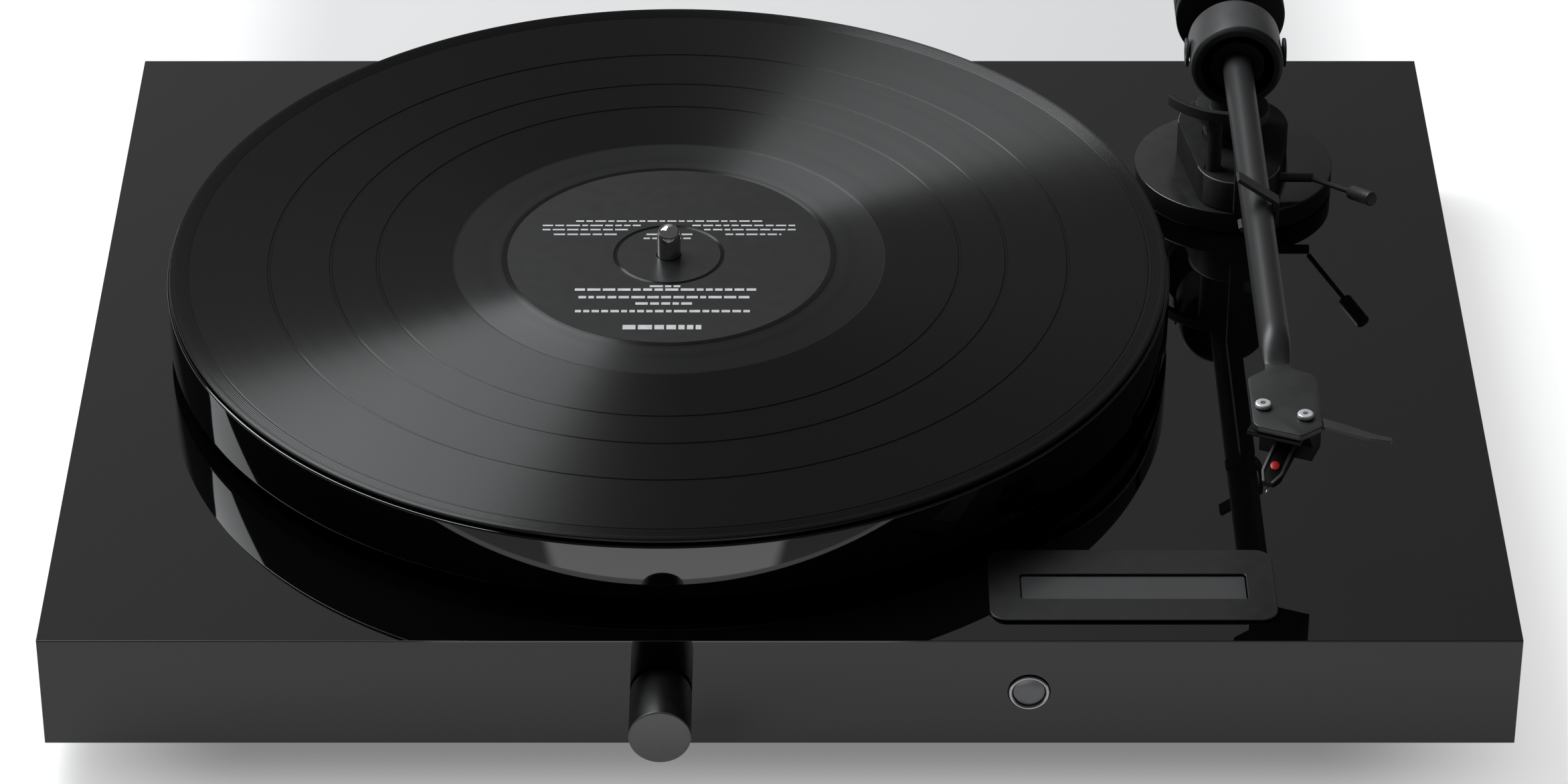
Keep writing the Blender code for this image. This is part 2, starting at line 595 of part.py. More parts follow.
def make_arm_pivot(swing):
    place = Matrix.Translation((ARM_X, ARM_Y, 0))
    ring_low = ARM_Z - RING_OUT
    collar = BLOCK_TOP + 0.0105
    shaft = [(0, ring_low - 0.0003), (0.0070, ring_low - 0.0003), (0.0070, collar), (0.0115, collar),
             (0.0115, collar - 0.0035)]
    shaft += [(0.0070, collar - 0.0035), (0.0070, BLOCK_TOP + 0.0024), (0.0055, BLOCK_TOP + 0.0024)]
    shaft += [(0.0055, BOARD_LOW - 0.0020), (0, BOARD_LOW - 0.0020)]
    add("arm_shaft", turned(shaft, SMALL_STEPS), "satin_black_metal", swing, matrix=place)
    length = RING_BACK - RING_FRONT
    chamfer = 0.0012
    ring = [(RING_BORE, 0), (RING_OUT - chamfer, 0), (RING_OUT, chamfer), (RING_OUT, length - 0.0005),
            (RING_OUT - 0.0005, length), (RING_BORE, length)]
    back = along((0, 1, 0), (ARM_X, RING_FRONT, ARM_Z))
    hoop = add("bearing_ring", turned(ring, ROUND_STEPS), "satin_black_metal", swing, matrix=back)
    for side, name in ((-1, "left"), (1, "right")):
        hole = moved(rod(0.0019, 0, 0.0060, 10),
                     along((side, 0, 0), (ARM_X + side * (RING_BORE - 0.001), ARM_Y, ARM_Z)))
        cut(hoop, hole)
        screw = [(0, 0.0046), (0.0045, 0.0046), (0.0045, 0.0036), (0.0016, 0.0036), (0.0016, 0.0002),
                 (0, -0.0010)]
        seat = ARM_X + side * (RING_BORE - 0.0002)
        add(f"pivot_screw_{name}", turned(screw, SMALL_STEPS), "satin_black_metal", swing,
            matrix=along((side, 0, 0), (seat, ARM_Y, ARM_Z)))


def make_cartridge(tilt, top, seats):
    """Body and stylus unit, drawn from the side as (way forward, height) and given their widths."""
    seat = Matrix.Translation((*SCREWS_AT, 0)) @ Matrix.Rotation(-OFFSET, 4, "Z")
    swap = Matrix(((0, 0, 1, 0), (-1, 0, 0, 0), (0, 1, 0, 0), (0, 0, 0, 1)))
    flange = 0.0017
    face = TOP + 0.0340  # where the stylus unit's sloping top leaves the body
    floor = TOP + 0.0292
    body_side = [(0.0095, top), (-0.0095, top), (-0.0095, top - flange),
                 (-0.0120, top - flange - 0.0020), (-0.0120, floor),
                 (-0.0036, floor), (-0.0036, face + 0.0005), (0.0020, top - flange),
                 (0.0095, top - flange)]
    body = add("cartridge", prism(body_side, -0.0078, 0.0078), "dark_plastic", tilt, matrix=seat @ swap)
    for at in seats:
        cut(body, rod(0.0016, top - 0.0040, top + 0.001, 12, at))
    nose = 0.0128
    unit_side = [(-0.0033, face), (-0.0033, floor), (nose - 0.0016, STYLUS_TIP + 0.0016),
                 (nose, STYLUS_TIP + 0.0022),
                 (nose - 0.0002, STYLUS_TIP + 0.0034), (0.0080, TOP + 0.0306)]
    stylus = add("stylus", prism(unit_side, -0.0031, 0.0031), "dark_plastic", tilt, matrix=seat @ swap)
    root = Vector((0, -nose + 0.0045, STYLUS_TIP + 0.0026))
    tip = Vector((0, -nose - 0.0006, STYLUS_TIP + 0.0006))
    cut(stylus, moved(rod(0.0003, 0, (tip - root).length, 8), seat @ along(tip - root, root)), "UNION")
    needle = turned([(0, -0.0006), (0.00025, 0.0003), (0, 0.0003)], 8)
    cut(stylus, moved(needle, seat @ Matrix.Translation(tip)), "UNION")


def make_arm(tilt, weight):
    hub_r = 0.0085
    back = along((0, 1, 0), (ARM_X, 0, ARM_Z))
    hub_front, hub_back = RING_FRONT + 0.0012, RING_BACK - 0.0012
    flange_r = RING_BORE - 0.0005
    flange = 0.0035  # closes the ring's bore behind the pivots
    hub = [(TUBE_R + GAP, hub_front), (hub_r, hub_front), (hub_r, hub_back - flange),
           (flange_r, hub_back - flange), (flange_r, hub_back), (TUBE_R + GAP, hub_back)]
    add("arm_hub", turned(hub, 24), "dark_plastic", tilt, matrix=back)
    stub_r = 0.0035
    tube = [(0, TUBE_FRONT), (TUBE_R * 0.8, TUBE_FRONT + 0.0006), (TUBE_R, TUBE_FRONT + 0.003),
            (TUBE_R, hub_back + 0.0010),
            (stub_r, hub_back + 0.0010), (stub_r, WEIGHT_BACK + 0.0030), (0, WEIGHT_BACK + 0.0030)]
    arm_tube = add("arm_tube", turned(tube, 24), "satin_black_metal", tilt, matrix=back)
    shell_low = SHELL_TOP - SHELL_THICK
    cut(arm_tube, block((ARM_X - 0.01, ARM_X + 0.01), (TUBE_FRONT - 0.01, TUBE_FRONT + 0.0105),
                        (shell_low - GAP, SHELL_TOP + GAP)))

    outline = [(0.1379, -0.0938), (0.1388, -0.0922), (0.1388, -0.0832), (0.1444, -0.0832),
               (0.1444, -0.0922), (0.1464, -0.0935),
               (0.1516, -0.0964), (0.1524, -0.0992), (0.1522, -0.1230), (0.1476, -0.1266),
               (0.1457, -0.1277), (0.1336, -0.1227),
               (0.1327, -0.1208), (0.1327, -0.0981)]
    shell = add("headshell", prism(outline, shell_low, SHELL_TOP), "satin_black_metal", tilt)
    across = (cos(SCREW_ANGLE), -sin(SCREW_ANGLE))
    seats = []
    for side, name in ((-1, "left"), (1, "right")):
        at = (SCREWS_AT[0] + side * SCREW_REACH * across[0],
              SCREWS_AT[1] + side * SCREW_REACH * across[1])
        seats.append(at)
        cut(shell, rod(0.0016, shell_low - 0.001, SHELL_TOP + 0.001, 12, at))
        screw = [(0, 0.0015), (0.0023, 0.0015), (0.0023, GAP), (0.00125, GAP), (0.00125, -0.0032),
                 (0, -0.0032)]
        head = add(f"headshell_screw_{name}", turned(screw, SMALL_STEPS), "steel", tilt,
                   matrix=Matrix.Translation((*at, SHELL_TOP)))
        cut(head, rod(0.0011, SHELL_TOP + 0.0007, SHELL_TOP + 0.003, 6, at))
    lift_low, lift_high = shell_low + 0.0003, SHELL_TOP - 0.0003
    finger = [(0.1522 + GAP, -0.1183), (0.1580, -0.1212), (0.1660, -0.1262), (0.1712, -0.1282),
              (0.1706, -0.1300), (0.1648, -0.1286),
              (0.1570, -0.1247), (0.1522 + GAP, -0.1226)]
    add("finger_lift", prism(finger, lift_low, lift_high), "satin_black_metal", tilt)
    make_cartridge(tilt, shell_low - GAP, seats)

    weight_profile = [(stub_r + GAP, WEIGHT_FRONT), (WEIGHT_R - 0.0006, WEIGHT_FRONT),
                      (WEIGHT_R, WEIGHT_FRONT + 0.0006),
                      (WEIGHT_R, WEIGHT_BACK - 0.0006), (WEIGHT_R - 0.0006, WEIGHT_BACK),
                      (stub_r + GAP, WEIGHT_BACK)]
    add("counterweight", turned(weight_profile, ROUND_STEPS), "satin_black_metal", weight, matrix=back)


def main():
    clear_scene()
    spin = empty("platter_axis", (SPINDLE_X, SPINDLE_Y, PLATTER_LOW))
    lift_off = empty("record_axis", (SPINDLE_X, SPINDLE_Y, RECORD_LOW))
    pulley_spin = empty("pulley_axis", (*motor_place(), TOP))
    knob_turn = empty("knob_axis", (SPINDLE_X, FRONT, FACE_Z))
    switch = empty("switch_axis", (-0.1710, -0.1340, FOOT_H + 0.0024))
    swing = empty("arm_swing_axis", (ARM_X, ARM_Y, ARM_Z))
    tilt = empty("arm_tilt_axis", (ARM_X, ARM_Y, ARM_Z))
    weight = empty("counterweight_axis", (ARM_X, WEIGHT_FRONT, ARM_Z))
    lift = empty("lift_axis", (*LIFT_AT, BLOCK_TOP))
    lever = empty("cue_axis", (ARM_X, CUE_Y, CUE_Z))
    bpy.context.view_layer.update()
    make_plinth()
    make_bottom()
    make_bearing(spin)
    make_motor(pulley_spin)
    make_platter(spin, lift_off)
    make_controls(knob_turn, switch)
    make_electronics()
    make_arm_base()
    make_rest()
    make_lift(lift, lever)
    make_arm_pivot(swing)
    make_arm(tilt, weight)
    bpy.context.view_layer.update()


main()
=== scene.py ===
"""Belt-drive record player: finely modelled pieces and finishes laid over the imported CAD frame."""

import random
from math import cos, hypot, pi, radians, sin, sqrt

import bmesh
import bpy
from mathutils import Matrix, Vector


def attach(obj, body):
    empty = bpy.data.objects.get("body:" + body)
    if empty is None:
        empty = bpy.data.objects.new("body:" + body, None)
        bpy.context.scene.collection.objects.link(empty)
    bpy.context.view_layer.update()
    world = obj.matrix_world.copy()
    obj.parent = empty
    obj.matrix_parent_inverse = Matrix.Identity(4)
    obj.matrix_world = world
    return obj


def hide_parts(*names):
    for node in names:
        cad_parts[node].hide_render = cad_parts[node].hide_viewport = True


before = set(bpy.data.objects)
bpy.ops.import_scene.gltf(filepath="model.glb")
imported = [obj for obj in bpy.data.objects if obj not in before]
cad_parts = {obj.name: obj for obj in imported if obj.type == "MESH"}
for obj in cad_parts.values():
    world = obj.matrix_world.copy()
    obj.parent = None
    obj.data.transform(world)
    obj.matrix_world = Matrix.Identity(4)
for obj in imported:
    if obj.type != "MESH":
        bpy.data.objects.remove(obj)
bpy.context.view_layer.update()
random.seed(7)

# ---- places shared with the CAD, in metres ----
TOP = 0.0477  # plinth top
FOOT = 0.0120  # height of the feet
BOARD_LOW = TOP - 0.0165  # underside of the plinth's board
WELL_FLOOR = TOP - 0.0115  # floor of the well under the platter
CLEAR = 0.0003  # gap between neighbouring pieces
SPINDLE = (-0.0333, 0.0020)
SPINDLE_R = 0.00355
SPINDLE_TIP = TOP + 0.0353
BORE = 0.00385  # hole of each piece on the spindle
PLATTER_R = 0.1505
PLATTER_LOW = TOP + 0.0052
PLATTER_TOP = TOP + 0.0231
MAT_R = 0.1470
MOTOR = (SPINDLE[0] + 0.115 * cos(radians(150)), SPINDLE[1] + 0.115 * sin(radians(150)))
PULLEY_R = 0.0065
FRONT = -0.161
BACK = 0.161
FACE_Z = TOP - 0.0178  # middle of the front face's fittings
KNOB_R = 0.00875
KNOB_OUT = 0.0213
RECEIVER_X = 0.0700
BASE = (0.1427, 0.0846)  # disc under the arm
BASE_TOP = TOP + 0.0075
BLOCK_TOP = TOP + 0.0182
ARM = (0.1416, 0.0840)  # the arm's pivot
ARM_Z = TOP + 0.0477
TUBE_R = 0.0046
RING_R = 0.0143
RING_FRONT = ARM[1] - 0.0100
RING_BACK = ARM[1] + 0.0078
SHELL_TOP = TOP + 0.0465  # headshell's plate
SHELL_LOW = SHELL_TOP - 0.0020
SCREW_TURN = radians(25)  # line of the two headshell screws
OFFSET = radians(22)  # the cartridge's turn against the tube
SCREWS_AT = (0.1418, -0.1157)
SCREW_SPACING = 0.0127
STYLUS_TIP = TOP + 0.0270
LIFT_AT = (ARM[0] - 0.0070, ARM[1] - 0.0205)
LIFT_R = 0.0240  # the lift bar's radius about the pivot
LIFT_TOP = TOP + 0.0400
CUE = Vector((0.1500, 0.0660, TOP + 0.0132))  # inner end of the cueing lever's axle


# ---- shapes ----
def circle(radius, steps, centre=(0, 0), start=0.0, sweep=2 * pi, closed=True):
    """Points round a circle, or along an arc of it when it isn't closed."""
    count = steps if closed else steps + 1
    turns = [start + sweep * i / steps for i in range(count)]
    return [(centre[0] + radius * cos(a), centre[1] + radius * sin(a)) for a in turns]


def soften(points, radius, closed=True, steps=4):
    """The outline with each real corner replaced by a small curve."""
    points = [Vector(p) for p in points]
    made = []
    for i, p in enumerate(points):
        if not closed and i in (0, len(points) - 1):
            made.append(tuple(p))
            continue
        a = points[i - 1] - p
        b = points[(i + 1) % len(points)] - p
        if a.length < 1e-7 or b.length < 1e-7 or a.angle(b) > radians(168):
            made.append(tuple(p))
            continue
        way = min(radius, a.length * 0.45, b.length * 0.45)
        first, last = p + a.normalized() * way, p + b.normalized() * way
        for k in range(steps + 1):
            t = k / steps
            made.append(tuple(first * (1 - t) ** 2 + p * 2 * t * (1 - t) + last * t * t))
    return made


def turned(profile, steps):
    """A solid of revolution about Z, from (radius, height) pairs."""
    bm = bmesh.new()
    rows = []
    for radius, height in profile:
        if radius < 1e-7:
            rows.append([bm.verts.new((0, 0, height))] * steps)
        else:
            rows.append([bm.verts.new((x, y, height)) for x, y in circle(radius, steps)])
    open_ended = profile[0][0] < 1e-7 and profile[-1][0] < 1e-7
    for first, second in list(zip(rows, rows[1:])) + ([] if open_ended else [(rows[-1], rows[0])]):
        for i in range(steps):
            j = (i + 1) % steps
            corners = []
            for vert in (first[i], first[j], second[j], second[i]):
                if vert not in corners:
                    corners.append(vert)
            if len(corners) > 2:
                bm.faces.new(corners)
    return bm


def prism(outline, low, high):
    """The outline raised from one height to another."""
    bm = bmesh.new()
    base = [bm.verts.new((x, y, low)) for x, y in outline]
    lid = [bm.verts.new((x, y, high)) for x, y in outline]
    bm.faces.new(base)
    bm.faces.new(lid)
    for i in range(len(outline)):
        j = (i + 1) % len(outline)
        bm.faces.new((base[i], base[j], lid[j], lid[i]))
    return bm


def block(x, y, z):
    return prism([(x[0], y[0]), (x[1], y[0]), (x[1], y[1]), (x[0], y[1])], z[0], z[1])


def lofted(rings):
    """A closed skin over rings that all have the same number of points."""
    bm = bmesh.new()
    rows = [[bm.verts.new(p) for p in ring] for ring in rings]
    for first, second in zip(rows, rows[1:]):
        for i in range(len(first)):
            j = (i + 1) % len(first)
            bm.faces.new((first[i], first[j], second[j], second[i]))
    bm.faces.new(rows[0])
    bm.faces.new(rows[-1])
    return bm


def rounded_box(x, y, radius, steps=10):
    """The outline of a rectangle between the x and y limits, with round corners."""
    corners = [(x[1], y[1], 0.0), (x[0], y[1], pi / 2), (x[0], y[0], pi), (x[1], y[0], 1.5 * pi)]
    points = []
    for cx, cy, start in corners:
        centre = (cx - radius if cx == x[1] else cx + radius, cy - radius if cy == y[1] else cy + radius)
        points += circle(radius, steps, centre, start, pi / 2, closed=False)
    return points


def oval(y, half_wide, half_tall, z, steps=64, power=2.0):
    """A ring across the arm: round at power 2, nearer a box above that."""
    ring = []
    for i in range(steps):
        a = 2 * pi * i / steps
        c, s = cos(a), sin(a)
        x = half_wide * abs(c) ** (2 / power) * (1 if c >= 0 else -1)
        v = half_tall * abs(s) ** (2 / power) * (1 if s >= 0 else -1)
        ring.append((ARM[0] + x, y, z + v))
    return ring


def dashes(rows):
    """Rows of short plain dashes where a label has its small print. They keep off the pressed ring."""
    whole = bmesh.new()
    for y, left, right, tall in rows:
        x = left
        while x < right:
            run = min(random.uniform(0.0016, 0.0042), right - x)
            reach = sorted((hypot(x, y), hypot(x + run, y), hypot(x, y + tall), hypot(x + run, y + tall)))
            if run > 0.0005 and (reach[-1] < 0.0153 or reach[0] > 0.0170):
                corners = [(x, y), (x + run, y), (x + run, y + tall), (x, y + tall)]
                whole.faces.new([whole.verts.new((a, b, 0)) for a, b in corners])
            x += run + 0.0007
    return whole


def along(direction, place):
    """Moves to a place, with Z turned to the direction."""
    turn = Vector((0, 0, 1)).rotation_difference(Vector(direction).normalized())
    return Matrix.Translation(place) @ turn.to_matrix().to_4x4()


def at(x, y, z=0.0):
    return Matrix.Translation((x, y, z))


def outward(bm):
    bmesh.ops.recalc_face_normals(bm, faces=bm.faces)
    if bm.calc_volume(signed=True) < 0:
        bmesh.ops.reverse_faces(bm, faces=bm.faces)


def placed(name, bm):
    """An object with the mesh as it is."""
    mesh = bpy.data.meshes.new(name)
    bm.to_mesh(mesh)
    bm.free()
    made = bpy.data.objects.new(name, mesh)
    bpy.context.scene.collection.objects.link(made)
    return made


def plain(name, bm, matrix=None):
    """An object whose faces all point outward."""
    if matrix:
        bm.transform(matrix)
    outward(bm)
    return placed(name, bm)


def apply(obj):
    """Makes the object's modifiers part of its mesh."""
    graph = bpy.context.evaluated_depsgraph_get()
    mesh = bpy.data.meshes.new_from_object(obj.evaluated_get(graph))
    obj.modifiers.clear()
    obj.data = mesh


def boolean(obj, bm, operation="DIFFERENCE"):
    other = plain("cutter", bm)
    step = obj.modifiers.new("cut", "BOOLEAN")
    step.operation = operation
    step.solver = "EXACT"
    step.object = other
    apply(obj)
    bpy.data.objects.remove(other, do_unlink=True)


def rounded(obj, width, segments=3, angle=40):
    step = obj.modifiers.new("edges", "BEVEL")
    step.width = width
    step.segments = segments
    step.limit_method = "ANGLE"
    step.angle_limit = radians(angle)
    step.use_clamp_overlap = True
    apply(obj)


def settle(obj, finish, body, nodes, edge=0.0, angle=40, sharp=50):
    """Rounds the edges, gives the finish and hands the piece to the frame."""
    if edge:
        rounded(obj, edge, angle=angle)
    obj.data.shade_smooth()
    obj.data.set_sharp_from_angle(angle=radians(sharp))
    if edge:
        even = obj.modifiers.new("even_shading", "WEIGHTED_NORMAL")
        even.keep_sharp = True
        even.weight = 100
    obj.data.materials.clear()
    obj.data.materials.append(FINISHES[finish])
    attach(obj, body)
    if nodes:
        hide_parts(*nodes)
    return obj


def piece(name, bm, finish, body, nodes=(), matrix=None, edge=0.0, angle=40, sharp=50):
    nodes = [nodes] if isinstance(nodes, str) else nodes
    return settle(plain(name, bm, matrix), finish, body, nodes, edge, angle, sharp)


def recolour(obj, finish, chosen):
    """Gives another finish to the faces that are chosen, unless they already have one."""
    slot = len(obj.data.materials)
    obj.data.materials.append(FINISHES[finish])
    for face in obj.data.polygons:
        if face.material_index == 0 and chosen(face):
            face.material_index = slot


def refined(node, finish, body, edge=0.0003, angle=40):
    """A copy of a CAD node with its edges rounded."""
    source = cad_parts[node]
    obj = bpy.data.objects.new(node + "_fine", source.data.copy())
    bpy.context.scene.collection.objects.link(obj)
    bm = bmesh.new()
    bm.from_mesh(obj.data)
    bmesh.ops.remove_doubles(bm, verts=bm.verts, dist=1e-6)
    bmesh.ops.dissolve_limit(bm, angle_limit=radians(1), verts=bm.verts, edges=bm.edges)
    bm.to_mesh(obj.data)
    bm.free()
    return settle(obj, finish, body, [node], edge, angle)


# ---- finishes ----
FINISHES = {}


def ramp_of(tree, source, start, end, low=0.0, high=1.0, smooth=True):
    """Maps the source from start..end to low..high."""
    made = tree.nodes.new("ShaderNodeMapRange")
    made.interpolation_type = "SMOOTHSTEP" if smooth else "LINEAR"
    made.inputs["From Min"].default_value = start
    made.inputs["From Max"].default_value = end
    made.inputs["To Min"].default_value = low
    made.inputs["To Max"].default_value = high
    tree.links.new(source, made.inputs["Value"])
    return made.outputs["Result"]


def maths(tree, operation, first, second):
    """A Math node over two values or sockets."""
    made = tree.nodes.new("ShaderNodeMath")
    made.operation = operation
    for socket, value in zip(made.inputs, (first, second)):
        if isinstance(value, (int, float)):
            socket.default_value = value
        else:
            tree.links.new(value, socket)
    return made.outputs[0]


def new_finish(name):
    """A named Principled material, with its tree and its shader."""
    made = bpy.data.materials.new(name)
    made.use_nodes = True
    FINISHES[name] = made
    return made.node_tree, made.node_tree.nodes["Principled BSDF"]


def vary(tree, shader, source, dark, light, rough, spread_from=(0.0, 1.0)):
    """Lets the source drive the colour from dark to light, and the roughness over its own range."""
    ramp = tree.nodes.new("ShaderNodeValToRGB")
    ramp.color_ramp.elements[0].position = 0.35
    ramp.color_ramp.elements[0].color = (*dark, 1)
    ramp.color_ramp.elements[1].position = 0.65
    ramp.color_ramp.elements[1].color = (*light, 1)
    tree.links.new(source, ramp.inputs["Fac"])
    tree.links.new(ramp.outputs["Color"], shader.inputs["Base Color"])
    spread = ramp_of(tree, source, *spread_from, *rough, smooth=False)
    tree.links.new(spread, shader.inputs["Roughness"])


def emboss(tree, shader, source, strength, distance):
    """Uses the source as fine relief."""
    relief = tree.nodes.new("ShaderNodeBump")
    relief.inputs["Strength"].default_value = strength
    relief.inputs["Distance"].default_value = distance
    tree.links.new(source, relief.inputs["Height"])
    tree.links.new(relief.outputs["Normal"], shader.inputs["Normal"])


def finish(name, slot, dark, light, rough, metallic=0.0, scale=80.0, bump=0.0, stretch=(1, 1, 1),
           specular=0.5):
    """A Principled finish whose colour and roughness wander a little with a noise."""
    tree, shader = new_finish(name)
    place = tree.nodes.new("ShaderNodeTexCoord")
    mapping = tree.nodes.new("ShaderNodeMapping")
    mapping.inputs["Scale"].default_value = stretch
    noise = tree.nodes.new("ShaderNodeTexNoise")
    noise.inputs["Scale"].default_value = scale
    noise.inputs["Detail"].default_value = 4.0
    tree.links.new(place.outputs["Object"], mapping.inputs["Vector"])
    tree.links.new(mapping.outputs["Vector"], noise.inputs["Vector"])
    vary(tree, shader, noise.outputs["Fac"], dark, light, rough)
    shader.inputs["Metallic"].default_value = metallic
    shader.inputs["Specular IOR Level"].default_value = specular
    if bump:
        emboss(tree, shader, noise.outputs["Fac"], 0.6, bump)


def grey(value):
    """A grey with a trace of blue."""
    return (value, value, value * 1.03)


finish("lacquer", "gloss_black_lacquer", grey(0.0010), grey(0.0016), (0.012, 0.022), scale=6.0)
finish("platter_gloss", "gloss_black_lacquer", grey(0.0010), grey(0.0016), (0.03, 0.045), scale=30.0)
finish("satin_black", "satin_black_metal", grey(0.015), grey(0.019), (0.38, 0.46), scale=260.0, bump=0.00001,
       specular=0.40)
finish("tube_black", "satin_black_metal", grey(0.018), grey(0.022), (0.38, 0.44), scale=120.0,
       stretch=(1, 0.05, 1), specular=0.36)
finish("ring_black", "satin_black_metal", grey(0.040), grey(0.048), (0.34, 0.40), scale=200.0)
finish("dull_black", "satin_black_metal", grey(0.008), grey(0.012), (0.50, 0.60), scale=200.0, specular=0.35)
# painted shade: a near-black finish for the bearing ring's bore and the hub inside it, darkened to stand in
# for the shade deep in the ring
finish("painted_shade_black", "satin_black_metal", grey(0.0025), grey(0.0040), (0.50, 0.60), scale=200.0,
       specular=0.20)
finish("block_black", "satin_black_metal", grey(0.0135), grey(0.0170), (0.50, 0.58), scale=260.0, bump=0.00001,
       specular=0.04)
finish("bar_rubber", "rubber", grey(0.017), grey(0.022), (0.62, 0.75), scale=400.0, specular=0.06)
finish("disc_black", "satin_black_metal", grey(0.015), grey(0.019), (0.13, 0.18), scale=260.0, specular=0.40)
# painted light: a lighter copy of the black for faces turned to the front, standing in for light from the
# front
finish("front_painted_light", "satin_black_metal", grey(0.036), grey(0.042), (0.50, 0.58), scale=260.0, specular=0.05)
# painted highlight: a brighter finish for the thin bevels along the block's top edge, standing in for the
# light they catch
finish("painted_edge_highlight", "satin_black_metal", grey(0.055), grey(0.070), (0.34, 0.40), scale=260.0)
finish("knob_black", "satin_black_metal", grey(0.0030), grey(0.0045), (0.32, 0.40), scale=260.0, bump=0.00001,
       specular=0.25)
finish("knob_face", "satin_black_metal", grey(0.055), grey(0.066), (0.38, 0.46), scale=260.0)
finish("bezel_grey", "satin_grey_plastic", grey(0.0110), grey(0.0135), (0.30, 0.36), scale=300.0,
       specular=0.30)
finish("window", "window_grey", grey(0.040), grey(0.047), (0.16, 0.22), scale=30.0)
finish("lens", "window_grey", grey(0.27), grey(0.31), (0.14, 0.20), scale=300.0)
finish("felt", "felt", grey(0.018), grey(0.034), (0.90, 1.0), scale=900.0, bump=0.00025)
finish("steel", "steel", grey(0.55), grey(0.68), (0.16, 0.26), metallic=1.0, scale=300.0)
finish("chrome", "steel", grey(0.72), grey(0.80), (0.05, 0.09), metallic=1.0, scale=200.0)
finish("bright_ring", "steel", grey(0.30), grey(0.36), (0.28, 0.36), metallic=1.0, scale=300.0)
finish("brass", "brass", (0.52, 0.36, 0.13), (0.62, 0.45, 0.18), (0.26, 0.36), metallic=1.0, scale=200.0)
finish("rubber", "rubber", grey(0.010), grey(0.017), (0.62, 0.75), scale=400.0, bump=0.00002)
finish("plastic", "dark_plastic", grey(0.011), grey(0.016), (0.40, 0.50), scale=400.0, bump=0.00001)
finish("cartridge_black", "dark_plastic", grey(0.0018), grey(0.0028), (0.40, 0.48), scale=400.0,
       specular=0.12)
finish("screw_steel", "steel", grey(0.55), grey(0.63), (0.34, 0.42), metallic=0.55, scale=300.0)
finish("stylus_rail", "dark_plastic", grey(0.075), grey(0.090), (0.34, 0.42), scale=400.0)
finish("red_dot", "dark_plastic", (0.55, 0.020, 0.022), (0.62, 0.030, 0.030), (0.35, 0.42), scale=900.0)
finish("board", "board_green", (0.012, 0.075, 0.030), (0.020, 0.105, 0.045), (0.45, 0.55), scale=300.0)
finish("aluminium", "aluminium", grey(0.45), grey(0.55), (0.30, 0.42), metallic=1.0, scale=200.0)
finish("red_plastic", "post_red", (0.33, 0.014, 0.016), (0.40, 0.020, 0.022), (0.32, 0.42), scale=300.0)
finish("label", "vinyl", grey(0.0085), grey(0.0108), (0.26, 0.32), scale=260.0, specular=0.30)
finish("print", "vinyl", grey(0.42), grey(0.50), (0.55, 0.65), scale=500.0)


def radial_finish(name, dark, light, rough, specular, relief_height, seed):
    """Pressed vinyl: fine rings that vary with the radius and spread light outward from the centre."""
    tree, shader = new_finish(name)
    place = tree.nodes.new("ShaderNodeTexCoord")
    centre = tree.nodes.new("ShaderNodeVectorMath")
    centre.operation = "MULTIPLY_ADD"
    centre.inputs[1].default_value = (1, 1, 0)
    centre.inputs[2].default_value = (-SPINDLE[0], -SPINDLE[1], 0)
    tree.links.new(place.outputs["Object"], centre.inputs[0])
    radius = tree.nodes.new("ShaderNodeVectorMath")
    radius.operation = "LENGTH"
    tree.links.new(centre.outputs["Vector"], radius.inputs[0])
    bands = []
    for scale in (260.0, 2400.0):
        noise = tree.nodes.new("ShaderNodeTexNoise")
        noise.noise_dimensions = "1D"
        noise.inputs["Scale"].default_value = scale
        noise.inputs["Detail"].default_value = 3.0
        tree.links.new(maths(tree, "ADD", radius.outputs["Value"], seed), noise.inputs["W"])
        bands.append(noise.outputs["Fac"])
    mix = maths(tree, "MULTIPLY", maths(tree, "ADD", *bands), 0.5)
    vary(tree, shader, mix, dark, light, rough, spread_from=(0.3, 0.7))
    tangent = tree.nodes.new("ShaderNodeTangent")
    tangent.direction_type = "RADIAL"
    tangent.axis = "Z"
    tree.links.new(tangent.outputs["Tangent"], shader.inputs["Tangent"])
    shader.inputs["Anisotropic"].default_value = 1.0
    shader.inputs["Anisotropic Rotation"].default_value = 0.25
    shader.inputs["IOR"].default_value = 1.33
    shader.inputs["Specular IOR Level"].default_value = specular
    emboss(tree, shader, bands[1], 0.5, relief_height)


radial_finish("grooves", grey(0.0008), grey(0.0026), (0.30, 0.37), 0.50, 0.00002, 3.1)
radial_finish("dead_wax", grey(0.0110), grey(0.0150), (0.36, 0.42), 0.50, 0.00001, 8.4)

# ---- plinth, base and feet ----
refined("plinth", "lacquer", "chassis", 0.00035, 60)
refined("bottom_plate", "satin_black", "chassis", 0.0003, 60)
for side_x, name_x in ((-1, "left"), (1, "right")):
    for side_y, name_y in ((-1, "front"), (1, "rear")):
        profile = [(0, 0.0006), (0.0060, 0.0006), (0.0066, 0), (0.0145, 0), (0.0165, 0.002), (0.0165, 0.0075),
                   (0.0140, FOOT - CLEAR), (0, FOOT - CLEAR)]
        foot = turned(soften(profile, 0.0008, False), 64)
        piece(f"foot_piece_{name_y}_{name_x}", foot, "rubber", "chassis", f"foot_{name_y}_{name_x}",
              at(side_x * 0.1675, side_y * 0.125))

